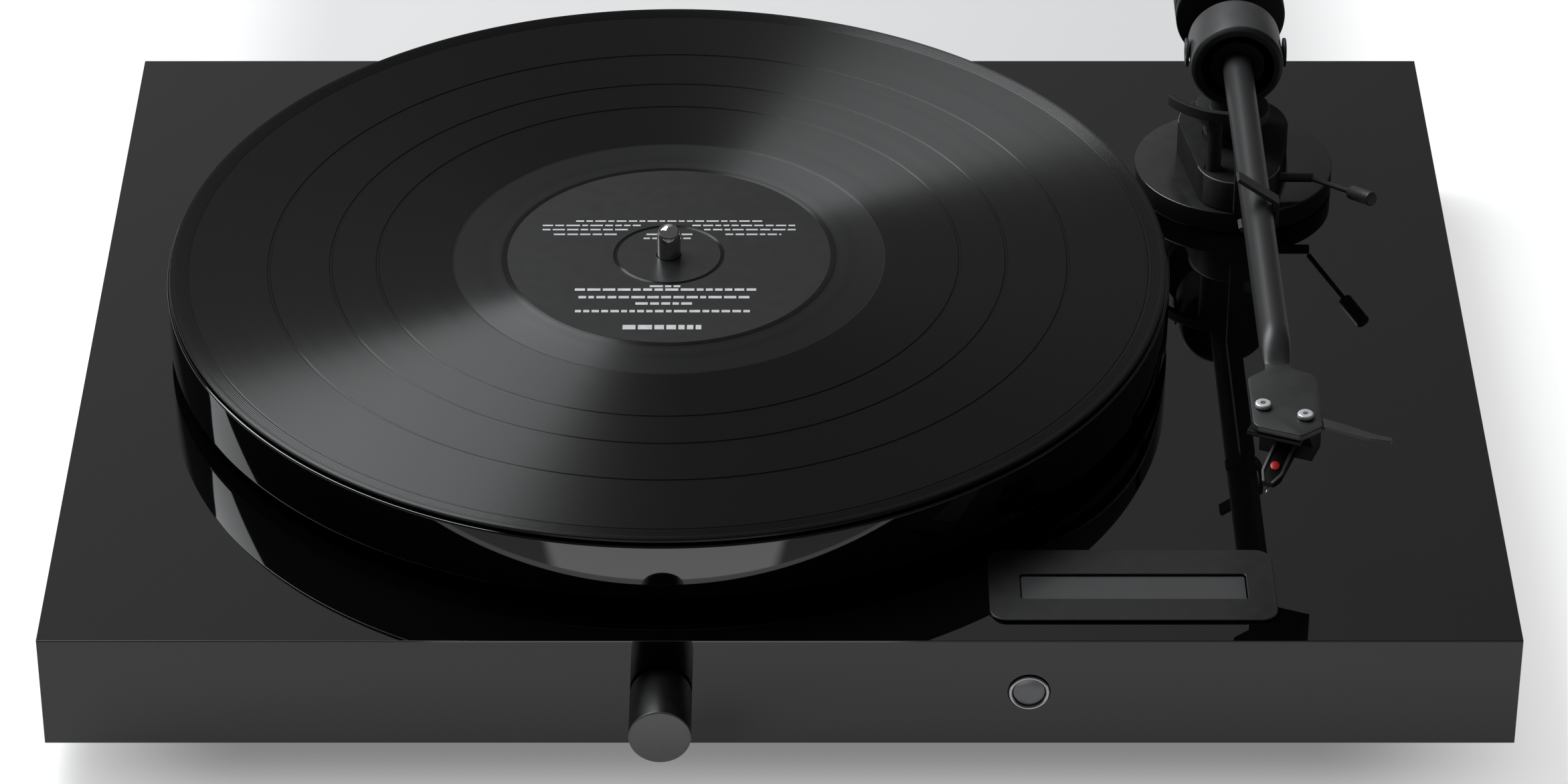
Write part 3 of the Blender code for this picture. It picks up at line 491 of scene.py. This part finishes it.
# ---- bearing, motor and belt ----
axis = at(*SPINDLE)
bush = [(0.0041, BOARD_LOW - 0.0100), (0.0076, BOARD_LOW - 0.0100), (0.0076, WELL_FLOOR + 0.0008),
        (0.0041, WELL_FLOOR + 0.0008)]
piece("bush_piece", turned(soften(bush, 0.0004), 48), "brass", "chassis", "bearing_bush", axis)
refined("thrust_plate", "steel", "chassis", 0.0003)
nose = [(0, 0), (0.0012, 0.00015), (0.0022, 0.0006), (0.0030, 0.0015), (0.0034, 0.0026),
        (SPINDLE_R, 0.0040)]
spindle = [(radius, SPINDLE_TIP - drop) for radius, drop in nose]
spindle += [(SPINDLE_R, BOARD_LOW - 0.0085), (0.0018, BOARD_LOW - 0.0098), (0, BOARD_LOW - 0.0098)]
piece("spindle_piece", turned(spindle, 48), "chrome", "platter", "spindle", axis, sharp=60)
sub_top = TOP + 0.0049
sub = [(BORE, sub_top), (0.0650, sub_top), (0.0650, TOP - 0.0090), (0.0610, TOP - 0.0090),
       (0.0610, sub_top - 0.0045), (0.0140, sub_top - 0.0045), (0.0140, TOP - 0.0090), (BORE, TOP - 0.0090)]
piece("sub_platter_piece", turned(soften(sub, 0.0006), 128), "plastic", "platter", "sub_platter", axis)
refined("motor_bracket", "steel", "chassis", 0.0003)
can_top = BOARD_LOW - 0.0023
can = [(0, can_top), (0.0175, can_top), (0.0185, can_top - 0.001), (0.0185, FOOT + 0.0035),
       (0, FOOT + 0.0035)]
piece("motor_piece", turned(soften(can, 0.0006, False), 64), "aluminium", "chassis", "motor", at(*MOTOR))
fast = PULLEY_R * 45 / 33.333  # the step for 45 turns a minute
pulley = [(0, TOP + 0.0015), (0.0074, TOP + 0.0015), (0.0074, TOP + 0.0008), (PULLEY_R, TOP + 0.0003),
          (PULLEY_R, TOP - 0.0052), (fast, TOP - 0.0056), (fast, TOP - 0.0095), (0.0012, TOP - 0.0095),
          (0.0012, can_top + 0.0003), (0, can_top + 0.0003)]
piece("pulley_piece", turned(soften(pulley, 0.0002, False), 64), "brass", "pulley", "motor_pulley",
      at(*MOTOR))
refined("drive_belt", "rubber", "chassis", 0.0001, 60)

# ---- platter, mat and record ----
floor_z = TOP + 0.0218
platter = [(BORE, floor_z), (0.1473, floor_z), (0.1473, PLATTER_TOP), (PLATTER_R, PLATTER_TOP),
           (PLATTER_R, PLATTER_LOW), (BORE, PLATTER_LOW)]
piece("platter_piece", turned(soften(platter, 0.0007), 320), "platter_gloss", "platter", "platter", axis)
mat = [(BORE, TOP + 0.0236), (MAT_R, TOP + 0.0236), (MAT_R, TOP + 0.0220), (BORE, TOP + 0.0220)]
mat_piece = piece("felt_piece", turned(soften(mat, 0.0004), 256), "felt", "platter", "felt_mat", axis)

play = TOP + 0.02465  # the grooves' level
rim = TOP + 0.0250
low = TOP + 0.0238
disc = [(0.0037, play + 0.00022), (0.0158, play + 0.00022), (0.0162, play + 0.00008), (0.0166, play + 0.00022),
        (0.0488, play + 0.00022), (0.0496, play + 0.00035), (0.0504, play + 0.00022), (0.0514, play),
        (0.0640, play), (0.0645, play - 0.00008), (0.0650, play + 0.00010), (0.0656, play + 0.00010)]
for groove in (0.0875, 0.1015, 0.1200):  # between one track and the next
    disc += [(groove - 0.00055, play + 0.00010), (groove - 0.00025, play - 0.00012),
             (groove + 0.00025, play - 0.00012), (groove + 0.00055, play + 0.00010)]
disc += [(0.1438, play + 0.00010), (0.1441, play - 0.00006)]
for step in range(6):
    radius = 0.1445 + step * 0.00062
    disc += [(radius, play + 0.00002 + step * 0.00004), (radius + 0.00030, play + 0.00012 + step * 0.00004)]
disc += [(0.1484, rim - 0.00003), (0.1490, rim), (0.1494, rim - 0.00012), (0.14965, rim - 0.00040),
         (0.1497, rim - 0.00065), (0.14965, low + 0.00025), (0.1492, low), (0.0037, low)]


def in_dead_wax(face):
    far = hypot(face.center.x - SPINDLE[0], face.center.y - SPINDLE[1])
    return 0.0505 < far < 0.0650 and face.center.z > low + 0.0002


vinyl = piece("record_piece", turned(disc, 360), "grooves", "record", "record", axis, sharp=25)
recolour(vinyl, "dead_wax", in_dead_wax)
paper_z = play + 0.00023
papers = (("label_centre", 0.0038, 0.0155, 128), ("label_paper", 0.0168, 0.0486, 256))
for name, inner, outer, steps in papers:
    paper = [(inner, paper_z), (outer, paper_z), (outer, paper_z + 0.00005), (inner, paper_z + 0.00005)]
    piece(name, turned(paper, steps), "label", "record", (), axis)


# Lines of print on the label, each with its height on the label, left end, right end and thickness.
LABEL_ROWS = [
    (0.0187, -0.0285, 0.0280, 0.0008), (0.0162, -0.0385, 0.0380, 0.0008), (0.0138, -0.0385, 0.0388, 0.0008),
    (0.0111, -0.0350, 0.0338, 0.0008), (0.0088, -0.0078, 0.0073, 0.0008), (-0.0183, -0.0054, 0.0037, 0.0010),
    (-0.0203, -0.0277, 0.0263, 0.0013), (-0.0245, -0.0265, 0.0243, 0.0013), (-0.0280, -0.0095, 0.0073, 0.0013),
    (-0.0322, -0.0273, 0.0251, 0.0013), (-0.0415, -0.0130, 0.0102, 0.0024),
]
ink = dashes(LABEL_ROWS)
ink.transform(at(*SPINDLE, paper_z + 0.00007))
settle(placed("label_print", ink), "print", "record", ())

# ---- knob, receiver and display ----
forward = along((0, -1, 0), (0, 0, 0))
length = KNOB_OUT - 0.0008
knob = [(0, length), (KNOB_R, length), (KNOB_R, 0), (0.0031, 0), (0.0031, 0.012), (0, 0.012)]
knob_piece = piece("knob_piece", turned(soften(knob, 0.0006, False), 128), "knob_black", "knob", "volume_knob",
                   at(SPINDLE[0], FRONT - 0.0008, FACE_Z) @ forward)
recolour(knob_piece, "knob_face", lambda face: face.center.y < FRONT - KNOB_OUT + 0.00025)
shaft = turned(soften([(0, 0), (0.0028, 0), (0.0028, 0.0238), (0, 0.0238)], 0.0004, False), 32)
piece("shaft_piece", shaft, "steel", "knob", "encoder_shaft",
      at(SPINDLE[0], FRONT + 0.0125, FACE_Z) @ forward)
refined("volume_encoder", "plastic", "chassis", 0.0003)
collar = [(0.0047, -0.0012), (0.0047, 0.0004), (0.0050, 0.0008), (0.0054, 0.0008), (0.0057, 0.0005),
          (0.0057, -0.0012)]
eye = at(RECEIVER_X, FRONT, FACE_Z) @ forward
piece("receiver_ring_piece", turned(soften(collar, 0.0001), 96), "bright_ring", "chassis",
      "receiver_ring", eye)
dome = [(0, 0.0004), (0.0012, 0.00038), (0.0024, 0.0003), (0.0036, 0.0001),
        (0.0044, -0.0001), (0.0044, -0.0100), (0, -0.0100)]
piece("receiver_lens_piece", turned(dome, 64), "lens", "chassis", "receiver_lens", eye)

bezel = prism(rounded_box((0.0590, 0.1400), (-0.1523, -0.1181), 0.005), TOP + 0.0001, TOP + 0.0009)
bezel = plain("bezel_piece", bezel)
boolean(bezel, prism(rounded_box((0.0680, 0.1320), (-0.1420, -0.1300), 0.0010), TOP - 0.001, TOP + 0.002))
settle(bezel, "bezel_grey", "chassis", ["display_bezel"], 0.00025)
window = prism(rounded_box((0.0683, 0.1317), (-0.1417, -0.1303), 0.0008), TOP - 0.0012, TOP + 0.0002)
piece("window_piece", window, "window", "chassis", "display_window", edge=0.00015)
refined("display_board", "board", "chassis", 0.0002)
refined("switch_housing", "plastic", "chassis", 0.0004)
refined("motor_switch", "plastic", "switch", 0.0004)

# ---- electronics and rear ----
refined("amplifier_board", "board", "chassis", 0.0002)
refined("heat_sink", "aluminium", "chassis", 0.0002)
refined("rear_panel", "satin_black", "chassis", 0.0002, 60)
mid = (FOOT + 0.0049 + TOP - 0.0089) / 2
back = along((0, 1, 0), (0, 0, 0))
for name, x, colour in (("right_positive", -0.104, "red_plastic"), ("right_negative", -0.085, "plastic"),
                        ("left_positive", -0.062, "red_plastic"), ("left_negative", -0.043, "plastic")):
    place = at(x, BACK, mid) @ back
    core = [(0, KNOB_OUT), (0.0036, KNOB_OUT), (0.0036, 0.0175), (0.0062, 0.0165), (0.0062, 0.0030),
            (0.0068, 0.0028), (0.0068, 0.0), (0.0028, 0.0), (0.0028, -0.0120), (0, -0.0120)]
    post = plain(f"post_piece_{name}", turned(soften(core, 0.0005, False), 48), place)
    for i in range(12):
        turn = 2 * pi * i / 12
        flute = prism(circle(0.0007, 12, (0.0064 * cos(turn), 0.0064 * sin(turn))), 0.0045, 0.0150)
        flute.transform(place)
        boolean(post, flute)
    settle(post, colour, "chassis", [f"binding_post_{name}"])
for name, x in (("line_in", -0.013), ("line_out", 0.024)):
    refined(f"{name}_jacks", "plastic", "chassis", 0.0002)
    for side, colour in ((-1, "plastic"), (1, "red_plastic")):
        place = at(x + side * 0.007, BACK, mid) @ back
        barrel = [(0.0017, 0.0084), (0.0040, 0.0084), (0.0040, -0.0030), (0.0017, -0.0030)]
        sleeve = [(0.0022, 0.00846), (0.0036, 0.00846), (0.0036, 0.0060), (0.0022, 0.0060)]
        piece(f"{name}_insert_{side}", turned(soften(sleeve, 0.0002), 32), colour, "chassis", (), place)
refined("power_inlet", "plastic", "chassis", 0.0002)

# ---- arm base, block, rest and lift ----
base_disc = [(0.0125, BASE_TOP), (0.0310, BASE_TOP), (0.0310, TOP + CLEAR), (0.0125, TOP + CLEAR)]
piece("arm_base_piece", turned(soften(base_disc, 0.0004), 192), "disc_black", "chassis", "arm_base",
      at(*BASE))
right = [(0.0126, -0.0215), (0.0112, -0.0248), (0.0088, -0.0277), (0.0055, -0.0297), (0.0015, -0.0306)]
left = [(-x, y) for x, y in right[::-1]]
shield = soften(left + circle(0.0173, 48, (0, 0.0065), pi, -pi, closed=False) + right, 0.0020, steps=5)
shield = plain("arm_block_piece", prism(shield, BASE_TOP + CLEAR, BLOCK_TOP), at(*BASE))
rounded(shield, 0.0003, 3, 40)
boolean(shield, prism(circle(0.0091, 64, ARM), TOP + 0.0070, TOP + 0.0200))
boolean(shield, prism(circle(0.0103, 64, ARM), TOP + 0.0070, TOP + 0.0145))
boolean(shield, prism(circle(0.0028, 32, LIFT_AT), TOP + 0.0112, TOP + 0.0200))
hole = prism(circle(0.0018, 24), 0, 0.0110)
hole.transform(along((1, 0, 0), CUE - Vector((CLEAR, 0, 0))))
boolean(shield, hole)
settle(shield, "block_black", "chassis", ["arm_block"])


def on_top_edge(face):
    return face.center.z > BLOCK_TOP - 0.0004 and 0.05 < face.normal.z < 0.98 and face.area < 2e-6


# The top edge's bevels get the brighter finish as a painted highlight.
recolour(shield, "painted_edge_highlight", on_top_edge)
# Faces turned to the front get the lighter finish as painted light.
recolour(shield, "front_painted_light", lambda face: face.normal.y < -0.5)
sleeve = [(0.0062, TOP + 0.0202), (0.0088, TOP + 0.0202), (0.0088, TOP + 0.0142), (0.0100, TOP + 0.0142),
          (0.0100, BOARD_LOW - 0.0003), (0.0150, BOARD_LOW - 0.0003), (0.0150, BOARD_LOW - 0.0043),
          (0.0062, BOARD_LOW - 0.0043)]
piece("sleeve_piece", turned(soften(sleeve, 0.0004), 96), "dull_black", "chassis", "arm_bearing_sleeve",
      at(*ARM))
refined("arm_rest", "satin_black", "chassis", 0.00025, 35)
bar = circle(LIFT_R + 0.0009, 40, ARM, radians(-149), radians(65), closed=False)
bar += circle(LIFT_R - 0.0009, 40, ARM, radians(-149), radians(65), closed=False)[::-1]
bar_low = LIFT_TOP - 0.0037
bar = prism(bar, bar_low, LIFT_TOP)
lift_bar = piece("lift_bar_piece", bar, "bar_rubber", "lift", "lift_bar", edge=0.0004)
piston = prism(circle(0.0024, 40, LIFT_AT), TOP + 0.0117, bar_low - CLEAR)
lift_piston = piece("lift_piston_piece", piston, "block_black", "lift", "lift_piston", edge=0.0003)
# The lift's front faces get the same painted light.
for lifting in (lift_bar, lift_piston):
    recolour(lifting, "front_painted_light", lambda face: face.normal.y < -0.3)
axle = soften([(0, 0.0162), (0.0015, 0.0162), (0.0015, 0), (0, 0)], 0.0003, False)
piece("cue_axle_piece", turned(axle, 40), "satin_black", "cue", "cue_axle", along((1, 0, 0), CUE))
root, grip = CUE + Vector((0.0145, 0, 0)), Vector((0.1814, 0.0378, TOP + 0.0225))
way = (grip - root).normalized()
stand_off = 0.0029  # clears the axle, which the stem meets at a slant
grip_length = 0.0110
start = root + way * stand_off
stem_length = (grip - root).length - grip_length - stand_off
stem = turned([(0, 0), (0.0008, 0), (0.0008, stem_length), (0, stem_length)], 24)
piece("cue_lever_piece", stem, "satin_black", "cue", "cue_lever", along(way, start))
handle = soften([(0, grip_length), (0.0022, grip_length), (0.0022, CLEAR), (0, CLEAR)], 0.0005, False)
piece("cue_grip_piece", turned(handle, 48), "satin_black", "cue", "cue_grip",
      along(way, start + way * stem_length))

# ---- arm pivot ----
flange = TOP + 0.0287
post_top = ARM_Z - RING_R - CLEAR
arm_shaft = [(0, post_top), (0.0070, post_top), (0.0070, flange), (0.0115, flange), (0.0115, flange - 0.0035),
             (0.0070, flange - 0.0035), (0.0070, TOP + 0.0206), (0.0055, TOP + 0.0206),
             (0.0055, BOARD_LOW - 0.0020), (0, BOARD_LOW - 0.0020)]
piece("arm_shaft_piece", turned(soften(arm_shaft, 0.0004, False), 96), "dull_black", "gimbal",
      "arm_shaft", at(*ARM))
depth = RING_BACK - RING_FRONT
hoop = [(0.0114, 0), (0.0131, 0), (RING_R, 0.0012), (RING_R, depth), (0.0112, depth), (0.0112, 0.0004)]
hoop = [(0.0113, 0.0002)] + soften(hoop, 0.0005, False)
back_ring = along((0, 1, 0), (ARM[0], RING_FRONT, ARM_Z))


def in_ring_bore(face):
    return hypot(face.center.x - ARM[0], face.center.z - ARM_Z) < 0.0116


ring_piece = piece("bearing_ring_piece", turned(hoop, 192), "ring_black", "gimbal", "bearing_ring", back_ring)
# The bore takes the near-black finish as painted shade.
recolour(ring_piece, "painted_shade_black", in_ring_bore)
recolour(ring_piece, "dull_black", lambda face: face.center.y < RING_FRONT + 0.0014)
for side, name in ((-1, "left"), (1, "right")):
    screw = [(0, 0.0040), (0.0014, 0.0040), (0.0016, 0.0046), (0.0045, 0.0046), (0.0045, 0.0036),
             (0.0016, 0.0036), (0.0016, 0.0002), (0, -0.0010)]
    piece(f"pivot_screw_piece_{name}", turned(soften(screw, 0.0003, False), 48), "satin_black", "gimbal",
          f"pivot_screw_{name}", along((side, 0, 0), (ARM[0] + side * 0.0110, ARM[1], ARM_Z)))

# ---- arm ----
back_arm = along((0, 1, 0), (ARM[0], 0, ARM_Z))
hub = [(0.0049, RING_FRONT + 0.0012), (0.0085, RING_FRONT + 0.0012), (0.0085, RING_BACK - 0.0047),
       (0.0107, RING_BACK - 0.0047), (0.0107, RING_BACK - 0.0012), (0.0049, RING_BACK - 0.0012)]
# The hub inside the ring is painted near-black, as shade.
piece("arm_hub_piece", turned(soften(hub, 0.0005), 64), "painted_shade_black", "arm", "arm_hub", back_arm)


# The tube, from the counterweight's end forward.
straight = [(0.1314, 0.0031), (0.1316, 0.0035), (RING_BACK - 0.0002, 0.0035), (RING_BACK - 0.0002, TUBE_R),
            (0.0400, TUBE_R), (0.0000, TUBE_R), (-0.0400, TUBE_R), (-0.0770, TUBE_R), (-0.0800, TUBE_R)]
# Its front end, which flattens and sinks into the headshell's plate.
sunk = ARM_Z - (SHELL_TOP + SHELL_LOW) / 2
blend = [(-0.0830, 0.0046, 0.0042, 0.0003, 2.0), (-0.0855, 0.0044, 0.0034, 0.0007, 2.1),
         (-0.0880, 0.0041, 0.0024, 0.0013, 2.3), (-0.0900, 0.0038, 0.0016, 0.0019, 2.7),
         (-0.0914, 0.0036, 0.0011, sunk, 3.2), (-0.0925, 0.0035, 0.0009, sunk, 4.0)]
sections = [oval(y, radius, radius, ARM_Z) for y, radius in straight]
sections += [oval(y, wide, tall, ARM_Z - drop, power=power) for y, wide, tall, drop, power in blend]
piece("arm_tube_piece", lofted(sections), "tube_black", "arm", "arm_tube", sharp=60)
plate = [(0.1379, -0.0938), (0.1380, -0.0928), (0.1381, -0.0900), (0.1451, -0.0900), (0.1452, -0.0924),
         (0.1464, -0.0935), (0.1516, -0.0964), (0.1524, -0.0992), (0.1522, -0.1230), (0.1476, -0.1266),
         (0.1457, -0.1277), (0.1336, -0.1227), (0.1327, -0.1208), (0.1327, -0.0981)]
shell = plain("headshell_piece", prism(soften(plate, 0.0011, steps=5), SHELL_LOW, SHELL_TOP))
rounded(shell, 0.00035, 3, 40)
screws = []
for side, name in ((-1, "left"), (1, "right")):
    reach = side * SCREW_SPACING / 2
    spot = (SCREWS_AT[0] + reach * cos(SCREW_TURN), SCREWS_AT[1] - reach * sin(SCREW_TURN))
    screws.append(spot)
    boolean(shell, prism(circle(0.0016, 32, spot), SHELL_LOW - 0.001, SHELL_TOP + 0.001))
    head = [(0, 0.0015), (0.0020, 0.0015), (0.0023, 0.0012), (0.0023, CLEAR), (0.00125, CLEAR),
            (0.00125, -0.0032), (0, -0.0032)]
    screw = turned(soften(head, 0.0002, False), 48)
    screw = plain(f"headshell_screw_piece_{name}", screw, at(*spot, SHELL_TOP))
    boolean(screw, prism(circle(0.0009, 6, spot), SHELL_TOP + 0.0008, SHELL_TOP + 0.003))
    settle(screw, "screw_steel", "arm", [f"headshell_screw_{name}"])
settle(shell, "satin_black", "arm", ["headshell"])
finger = [(0.1525, -0.1183), (0.1580, -0.1212), (0.1660, -0.1262), (0.1712, -0.1282), (0.1706, -0.1300),
          (0.1648, -0.1286), (0.1570, -0.1247), (0.1525, -0.1226)]
finger = prism(soften(finger, 0.0004, steps=5), SHELL_LOW + 0.0003, SHELL_TOP - 0.0003)
piece("finger_lift_piece", finger, "satin_black", "arm", "finger_lift", edge=0.0004)

# ---- cartridge and stylus ----
seat = at(*SCREWS_AT) @ Matrix.Rotation(-OFFSET, 4, "Z")
# Stands a side view, drawn as (forward, up), upright in the seat.
swap = seat @ Matrix(((0, 0, 1, 0), (-1, 0, 0, 0), (0, 1, 0, 0), (0, 0, 0, 1)))
under = SHELL_LOW - CLEAR
body_side = [(0.0095, under), (-0.0095, under), (-0.0095, under - 0.0017), (-0.0120, under - 0.0037),
             (-0.0120, TOP + 0.0292), (-0.0036, TOP + 0.0292), (-0.0036, TOP + 0.0345),
             (0.0020, under - 0.0017), (0.0095, under - 0.0017)]
body = plain("cartridge_piece", prism(soften(body_side, 0.0006), -0.0078, 0.0078), swap)
for spot in screws:
    boolean(body, prism(circle(0.0016, 24, spot), under - 0.0040, under + 0.001))
settle(body, "cartridge_black", "arm", ["cartridge"], 0.0004)


UNIT_BACK, UNIT_NOSE = -0.0033, 0.0128  # ends of the stylus unit, forward of the screws
UNIT_HALF = 0.0031
TAPER_FROM = 0.0088


def on_slope(ahead, side, lift=0.0):
    """A place on the stylus unit's sloping top."""
    back_z, nose_z = TOP + 0.0340, TOP + 0.0304
    share = (ahead - UNIT_BACK) / (UNIT_NOSE - UNIT_BACK)
    return seat @ Vector((side, -ahead, back_z + (nose_z - back_z) * share + lift))


def stylus_half(ahead):
    """Half the unit's width, which tapers to the nose."""
    return UNIT_HALF - max(0.0, ahead - TAPER_FROM) * 0.38


rings = []
for ahead, low_z in ((UNIT_BACK, 0.0292), (0.0030, 0.0289), (TAPER_FROM, 0.0287), (0.0102, 0.0286),
                     (0.0118, 0.0287), (UNIT_NOSE, 0.0292)):
    half = stylus_half(ahead)
    low_left, low_right = (seat @ Vector((side * half * 0.9, -ahead, TOP + low_z)) for side in (-1, 1))
    rings.append([on_slope(ahead, -half), on_slope(ahead, half), low_right, low_left])
piece("stylus_piece", lofted(rings), "cartridge_black", "arm", "stylus", edge=0.0002)
for side in (-1, 1):
    rings = []
    for ahead in (UNIT_BACK, 0.0030, TAPER_FROM, 0.0102, 0.0118, UNIT_NOSE - 0.0001):
        outer = side * stylus_half(ahead)
        inner = outer - side * 0.00075
        rings.append([on_slope(ahead, outer, 0.00005), on_slope(ahead, outer, 0.00045),
                      on_slope(ahead, inner, 0.00045), on_slope(ahead, inner, 0.00005)])
    piece(f"stylus_rail_{side}", lofted(rings), "stylus_rail", "arm", (), edge=0.0001)
dot = turned([(0, 0), (0.0013, 0), (0.0013, 0.00025), (0.0011, 0.00035), (0, 0.00035)], 32)
up_slope = on_slope(0.0030, 0) - on_slope(0.0090, 0)
side_way = on_slope(0.0, 0.001) - on_slope(0.0, 0)
dot.transform(Matrix.Diagonal((1.0, 1.25, 1.0, 1.0)))
dot.transform(along(side_way.cross(up_slope), on_slope(0.0060, 0, 0.00002)))
piece("stylus_dot", dot, "red_dot", "arm", ())
hold = seat @ Vector((0, -0.0100, TOP + 0.0290))
point = seat @ Vector((0, -0.0134, STYLUS_TIP + 0.0006))
reach = (point - hold).length
cantilever = turned([(0, 0), (0.00028, 0), (0.00024, reach), (0, reach)], 16)
piece("cantilever", cantilever, "aluminium", "arm", (), along(point - hold, hold))
diamond = turned([(0, -0.0006), (0.0001, -0.0005), (0.00022, 0.0002), (0, 0.0002)], 16)
piece("diamond", diamond, "steel", "arm", (), at(*point))

# ---- counterweight ----
weight = [(0.0038, 0.1060), (0.0171, 0.1060), (0.0171, 0.1100), (0.0166, 0.1104), (0.0166, 0.1112),
          (0.0171, 0.1116), (0.0171, 0.1290), (0.0038, 0.1290)]
piece("counterweight_piece", turned(soften(weight, 0.0007), 160), "dull_black", "weight", "counterweight",
      back_arm)

# ---- room, light and camera ----
FLOOR_GREY = 0.42
FLOOR_GLOW = 0.72  # keeps the floor pale to the camera
SHADOW_DEPTH = 0.50  # how much of that glow the soft shadow takes away
SHADOW_HALF = (0.235, 0.150)  # the shadow's sides fade in between these
SHADOW_FRONT = (-0.192, -0.146)
FRONT_GLOW = 0.62  # what the plinth's front mirrors
RIM_GLOW = 1.9  # what the middle of the platter's rim mirrors
RIM_SIDE = 0.05  # and what the rest of the rim mirrors
RIM_HALF = (0.0765, 0.0645)  # the lit patch's sides, where its near edge is
RIM_FROM = -0.228
RIM_FLARE = 0.55  # makes the patch wider with distance, so that its sides look upright in the rim
PANEL_LIGHT = 11.0
PANEL_TURN = (207.0, 248.5)  # the softbox's sides, as degrees round the spindle
PANEL_REACH = (0.22, 0.95)
PANEL_FAR = 1.8
VIEW_FLAT = 0.83  # horizontal share of the view's direction
SKY_LOW = 0.09
SKY_HIGH = 0.38
SKY_LEAN = -0.80  # brighter to the left
MIRROR_WAY = (0.0, 0.834, 0.552)  # where a level mirror sends the camera's view
TILT = 56.5


def lit_floor():
    ground = plain("floor", block((-6, 6), (-6, 6), (-0.01, 0.0)))
    white = bpy.data.materials.new("floor_white")
    white.use_nodes = True
    tree = white.node_tree
    shader = tree.nodes["Principled BSDF"]
    shader.inputs["Base Color"].default_value = (FLOOR_GREY, FLOOR_GREY, FLOOR_GREY, 1)
    shader.inputs["Roughness"].default_value = 0.9
    shader.inputs["Specular IOR Level"].default_value = 0.0
    shader.inputs["Emission Color"].default_value = (1, 1, 1, 1)
    path = tree.nodes.new("ShaderNodeLightPath")
    place = tree.nodes.new("ShaderNodeTexCoord")
    parts = tree.nodes.new("ShaderNodeSeparateXYZ")
    tree.links.new(place.outputs["Object"], parts.inputs["Vector"])
    across, ahead = parts.outputs["X"], parts.outputs["Y"]
    # To the camera the floor glows, less so just in front of the plinth, where the soft shadow is.
    aside = maths(tree, "ABSOLUTE", across, 0.0)
    under = maths(tree, "MULTIPLY", ramp_of(tree, aside, *SHADOW_HALF), ramp_of(tree, ahead, *SHADOW_FRONT))
    seen = maths(tree, "SUBTRACT", FLOOR_GLOW, maths(tree, "MULTIPLY", under, SHADOW_DEPTH))
    seen = maths(tree, "MULTIPLY", seen, path.outputs["Is Camera Ray"])
    # In reflections, the strip in front lights the plinth's face, and a patch beyond it the platter's rim.
    strip = ramp_of(tree, ahead, -0.10, -0.16, 0.0, FRONT_GLOW)
    beyond = ramp_of(tree, ahead, -0.2256, -0.2262)
    off_axis = maths(tree, "ABSOLUTE", maths(tree, "SUBTRACT", across, SPINDLE[0]), 0.0)
    flare = maths(tree, "MULTIPLY", maths(tree, "SUBTRACT", ahead, RIM_FROM), RIM_FLARE)
    patch = ramp_of(tree, maths(tree, "ADD", off_axis, flare), *RIM_HALF, RIM_SIDE, RIM_GLOW)
    strip = maths(tree, "MULTIPLY", strip, maths(tree, "SUBTRACT", 1.0, beyond))
    mirrored = maths(tree, "ADD", strip, maths(tree, "MULTIPLY", patch, beyond))
    mirrored = maths(tree, "MULTIPLY", mirrored, ramp_of(tree, ahead, -0.46, -0.42))
    mirrored = maths(tree, "MULTIPLY", mirrored, path.outputs["Is Glossy Ray"])
    tree.links.new(maths(tree, "ADD", seen, mirrored), shader.inputs["Emission Strength"])
    ground.data.materials.append(white)


def softbox():
    """A panel up to the left, shaped so that the grooves catch it in two clean wedges."""
    bm = bmesh.new()
    middle = Vector((*SPINDLE, TOP))
    rows, columns = 8, 6
    grid = []
    for i in range(rows + 1):
        turn = radians(PANEL_TURN[0] + (PANEL_TURN[1] - PANEL_TURN[0]) * i / rows)
        line = []
        for k in range(columns + 1):
            reach = PANEL_REACH[0] + (PANEL_REACH[1] - PANEL_REACH[0]) * k / columns
            x, y = reach * cos(turn), VIEW_FLAT + reach * sin(turn)
            flat = min(x * x + y * y, 0.97)
            line.append(bm.verts.new(middle + PANEL_FAR * Vector((x, y, sqrt(1 - flat)))))
        grid.append(line)
    for first, second in zip(grid, grid[1:]):
        for k in range(columns):
            bm.faces.new((first[k], first[k + 1], second[k + 1], second[k]))
    panel = placed("softbox", bm)
    glow = bpy.data.materials.new("softbox_glow")
    glow.use_nodes = True
    tree = glow.node_tree
    tree.nodes.clear()
    lamp = tree.nodes.new("ShaderNodeEmission")
    lamp.inputs["Color"].default_value = (0.96, 0.985, 1.0, 1)
    lamp.inputs["Strength"].default_value = PANEL_LIGHT
    out = tree.nodes.new("ShaderNodeOutputMaterial")
    tree.links.new(lamp.outputs["Emission"], out.inputs["Surface"])
    panel.data.materials.append(glow)


def studio():
    """A dim room with a pale band where the level surfaces look, brighter to the left."""
    world = bpy.data.worlds.new("studio")
    bpy.context.scene.world = world
    world.use_nodes = True
    tree = world.node_tree
    place = tree.nodes.new("ShaderNodeTexCoord")
    parts = tree.nodes.new("ShaderNodeSeparateXYZ")
    tree.links.new(place.outputs["Generated"], parts.inputs["Vector"])
    lean = maths(tree, "MULTIPLY", parts.outputs["X"], SKY_LEAN)
    lean = maths(tree, "ADD", lean, SKY_HIGH - SKY_LOW)
    aim = tree.nodes.new("ShaderNodeVectorMath")
    aim.operation = "DOT_PRODUCT"
    aim.inputs[1].default_value = MIRROR_WAY
    tree.links.new(place.outputs["Generated"], aim.inputs[0])
    band = ramp_of(tree, aim.outputs["Value"], 0.90, 0.985)
    total = maths(tree, "ADD", maths(tree, "MULTIPLY", lean, band), SKY_LOW)
    sky = tree.nodes["Background"]
    sky.inputs["Color"].default_value = (1, 1, 1, 1)
    tree.links.new(total, sky.inputs["Strength"])


def camera():
    eye = bpy.data.cameras.new("camera")
    eye.sensor_fit = "HORIZONTAL"
    eye.sensor_width = 36.0
    eye.lens = 128.24
    eye.shift_x = 0.00277
    made = bpy.data.objects.new("camera", eye)
    made.location = (0, -1.4216, 0.9653)
    made.rotation_euler = (radians(TILT), 0, 0)
    bpy.context.scene.collection.objects.link(made)
    bpy.context.scene.camera = made


lit_floor()
softbox()
studio()
camera()
bpy.context.scene.view_settings.view_transform = "Standard"
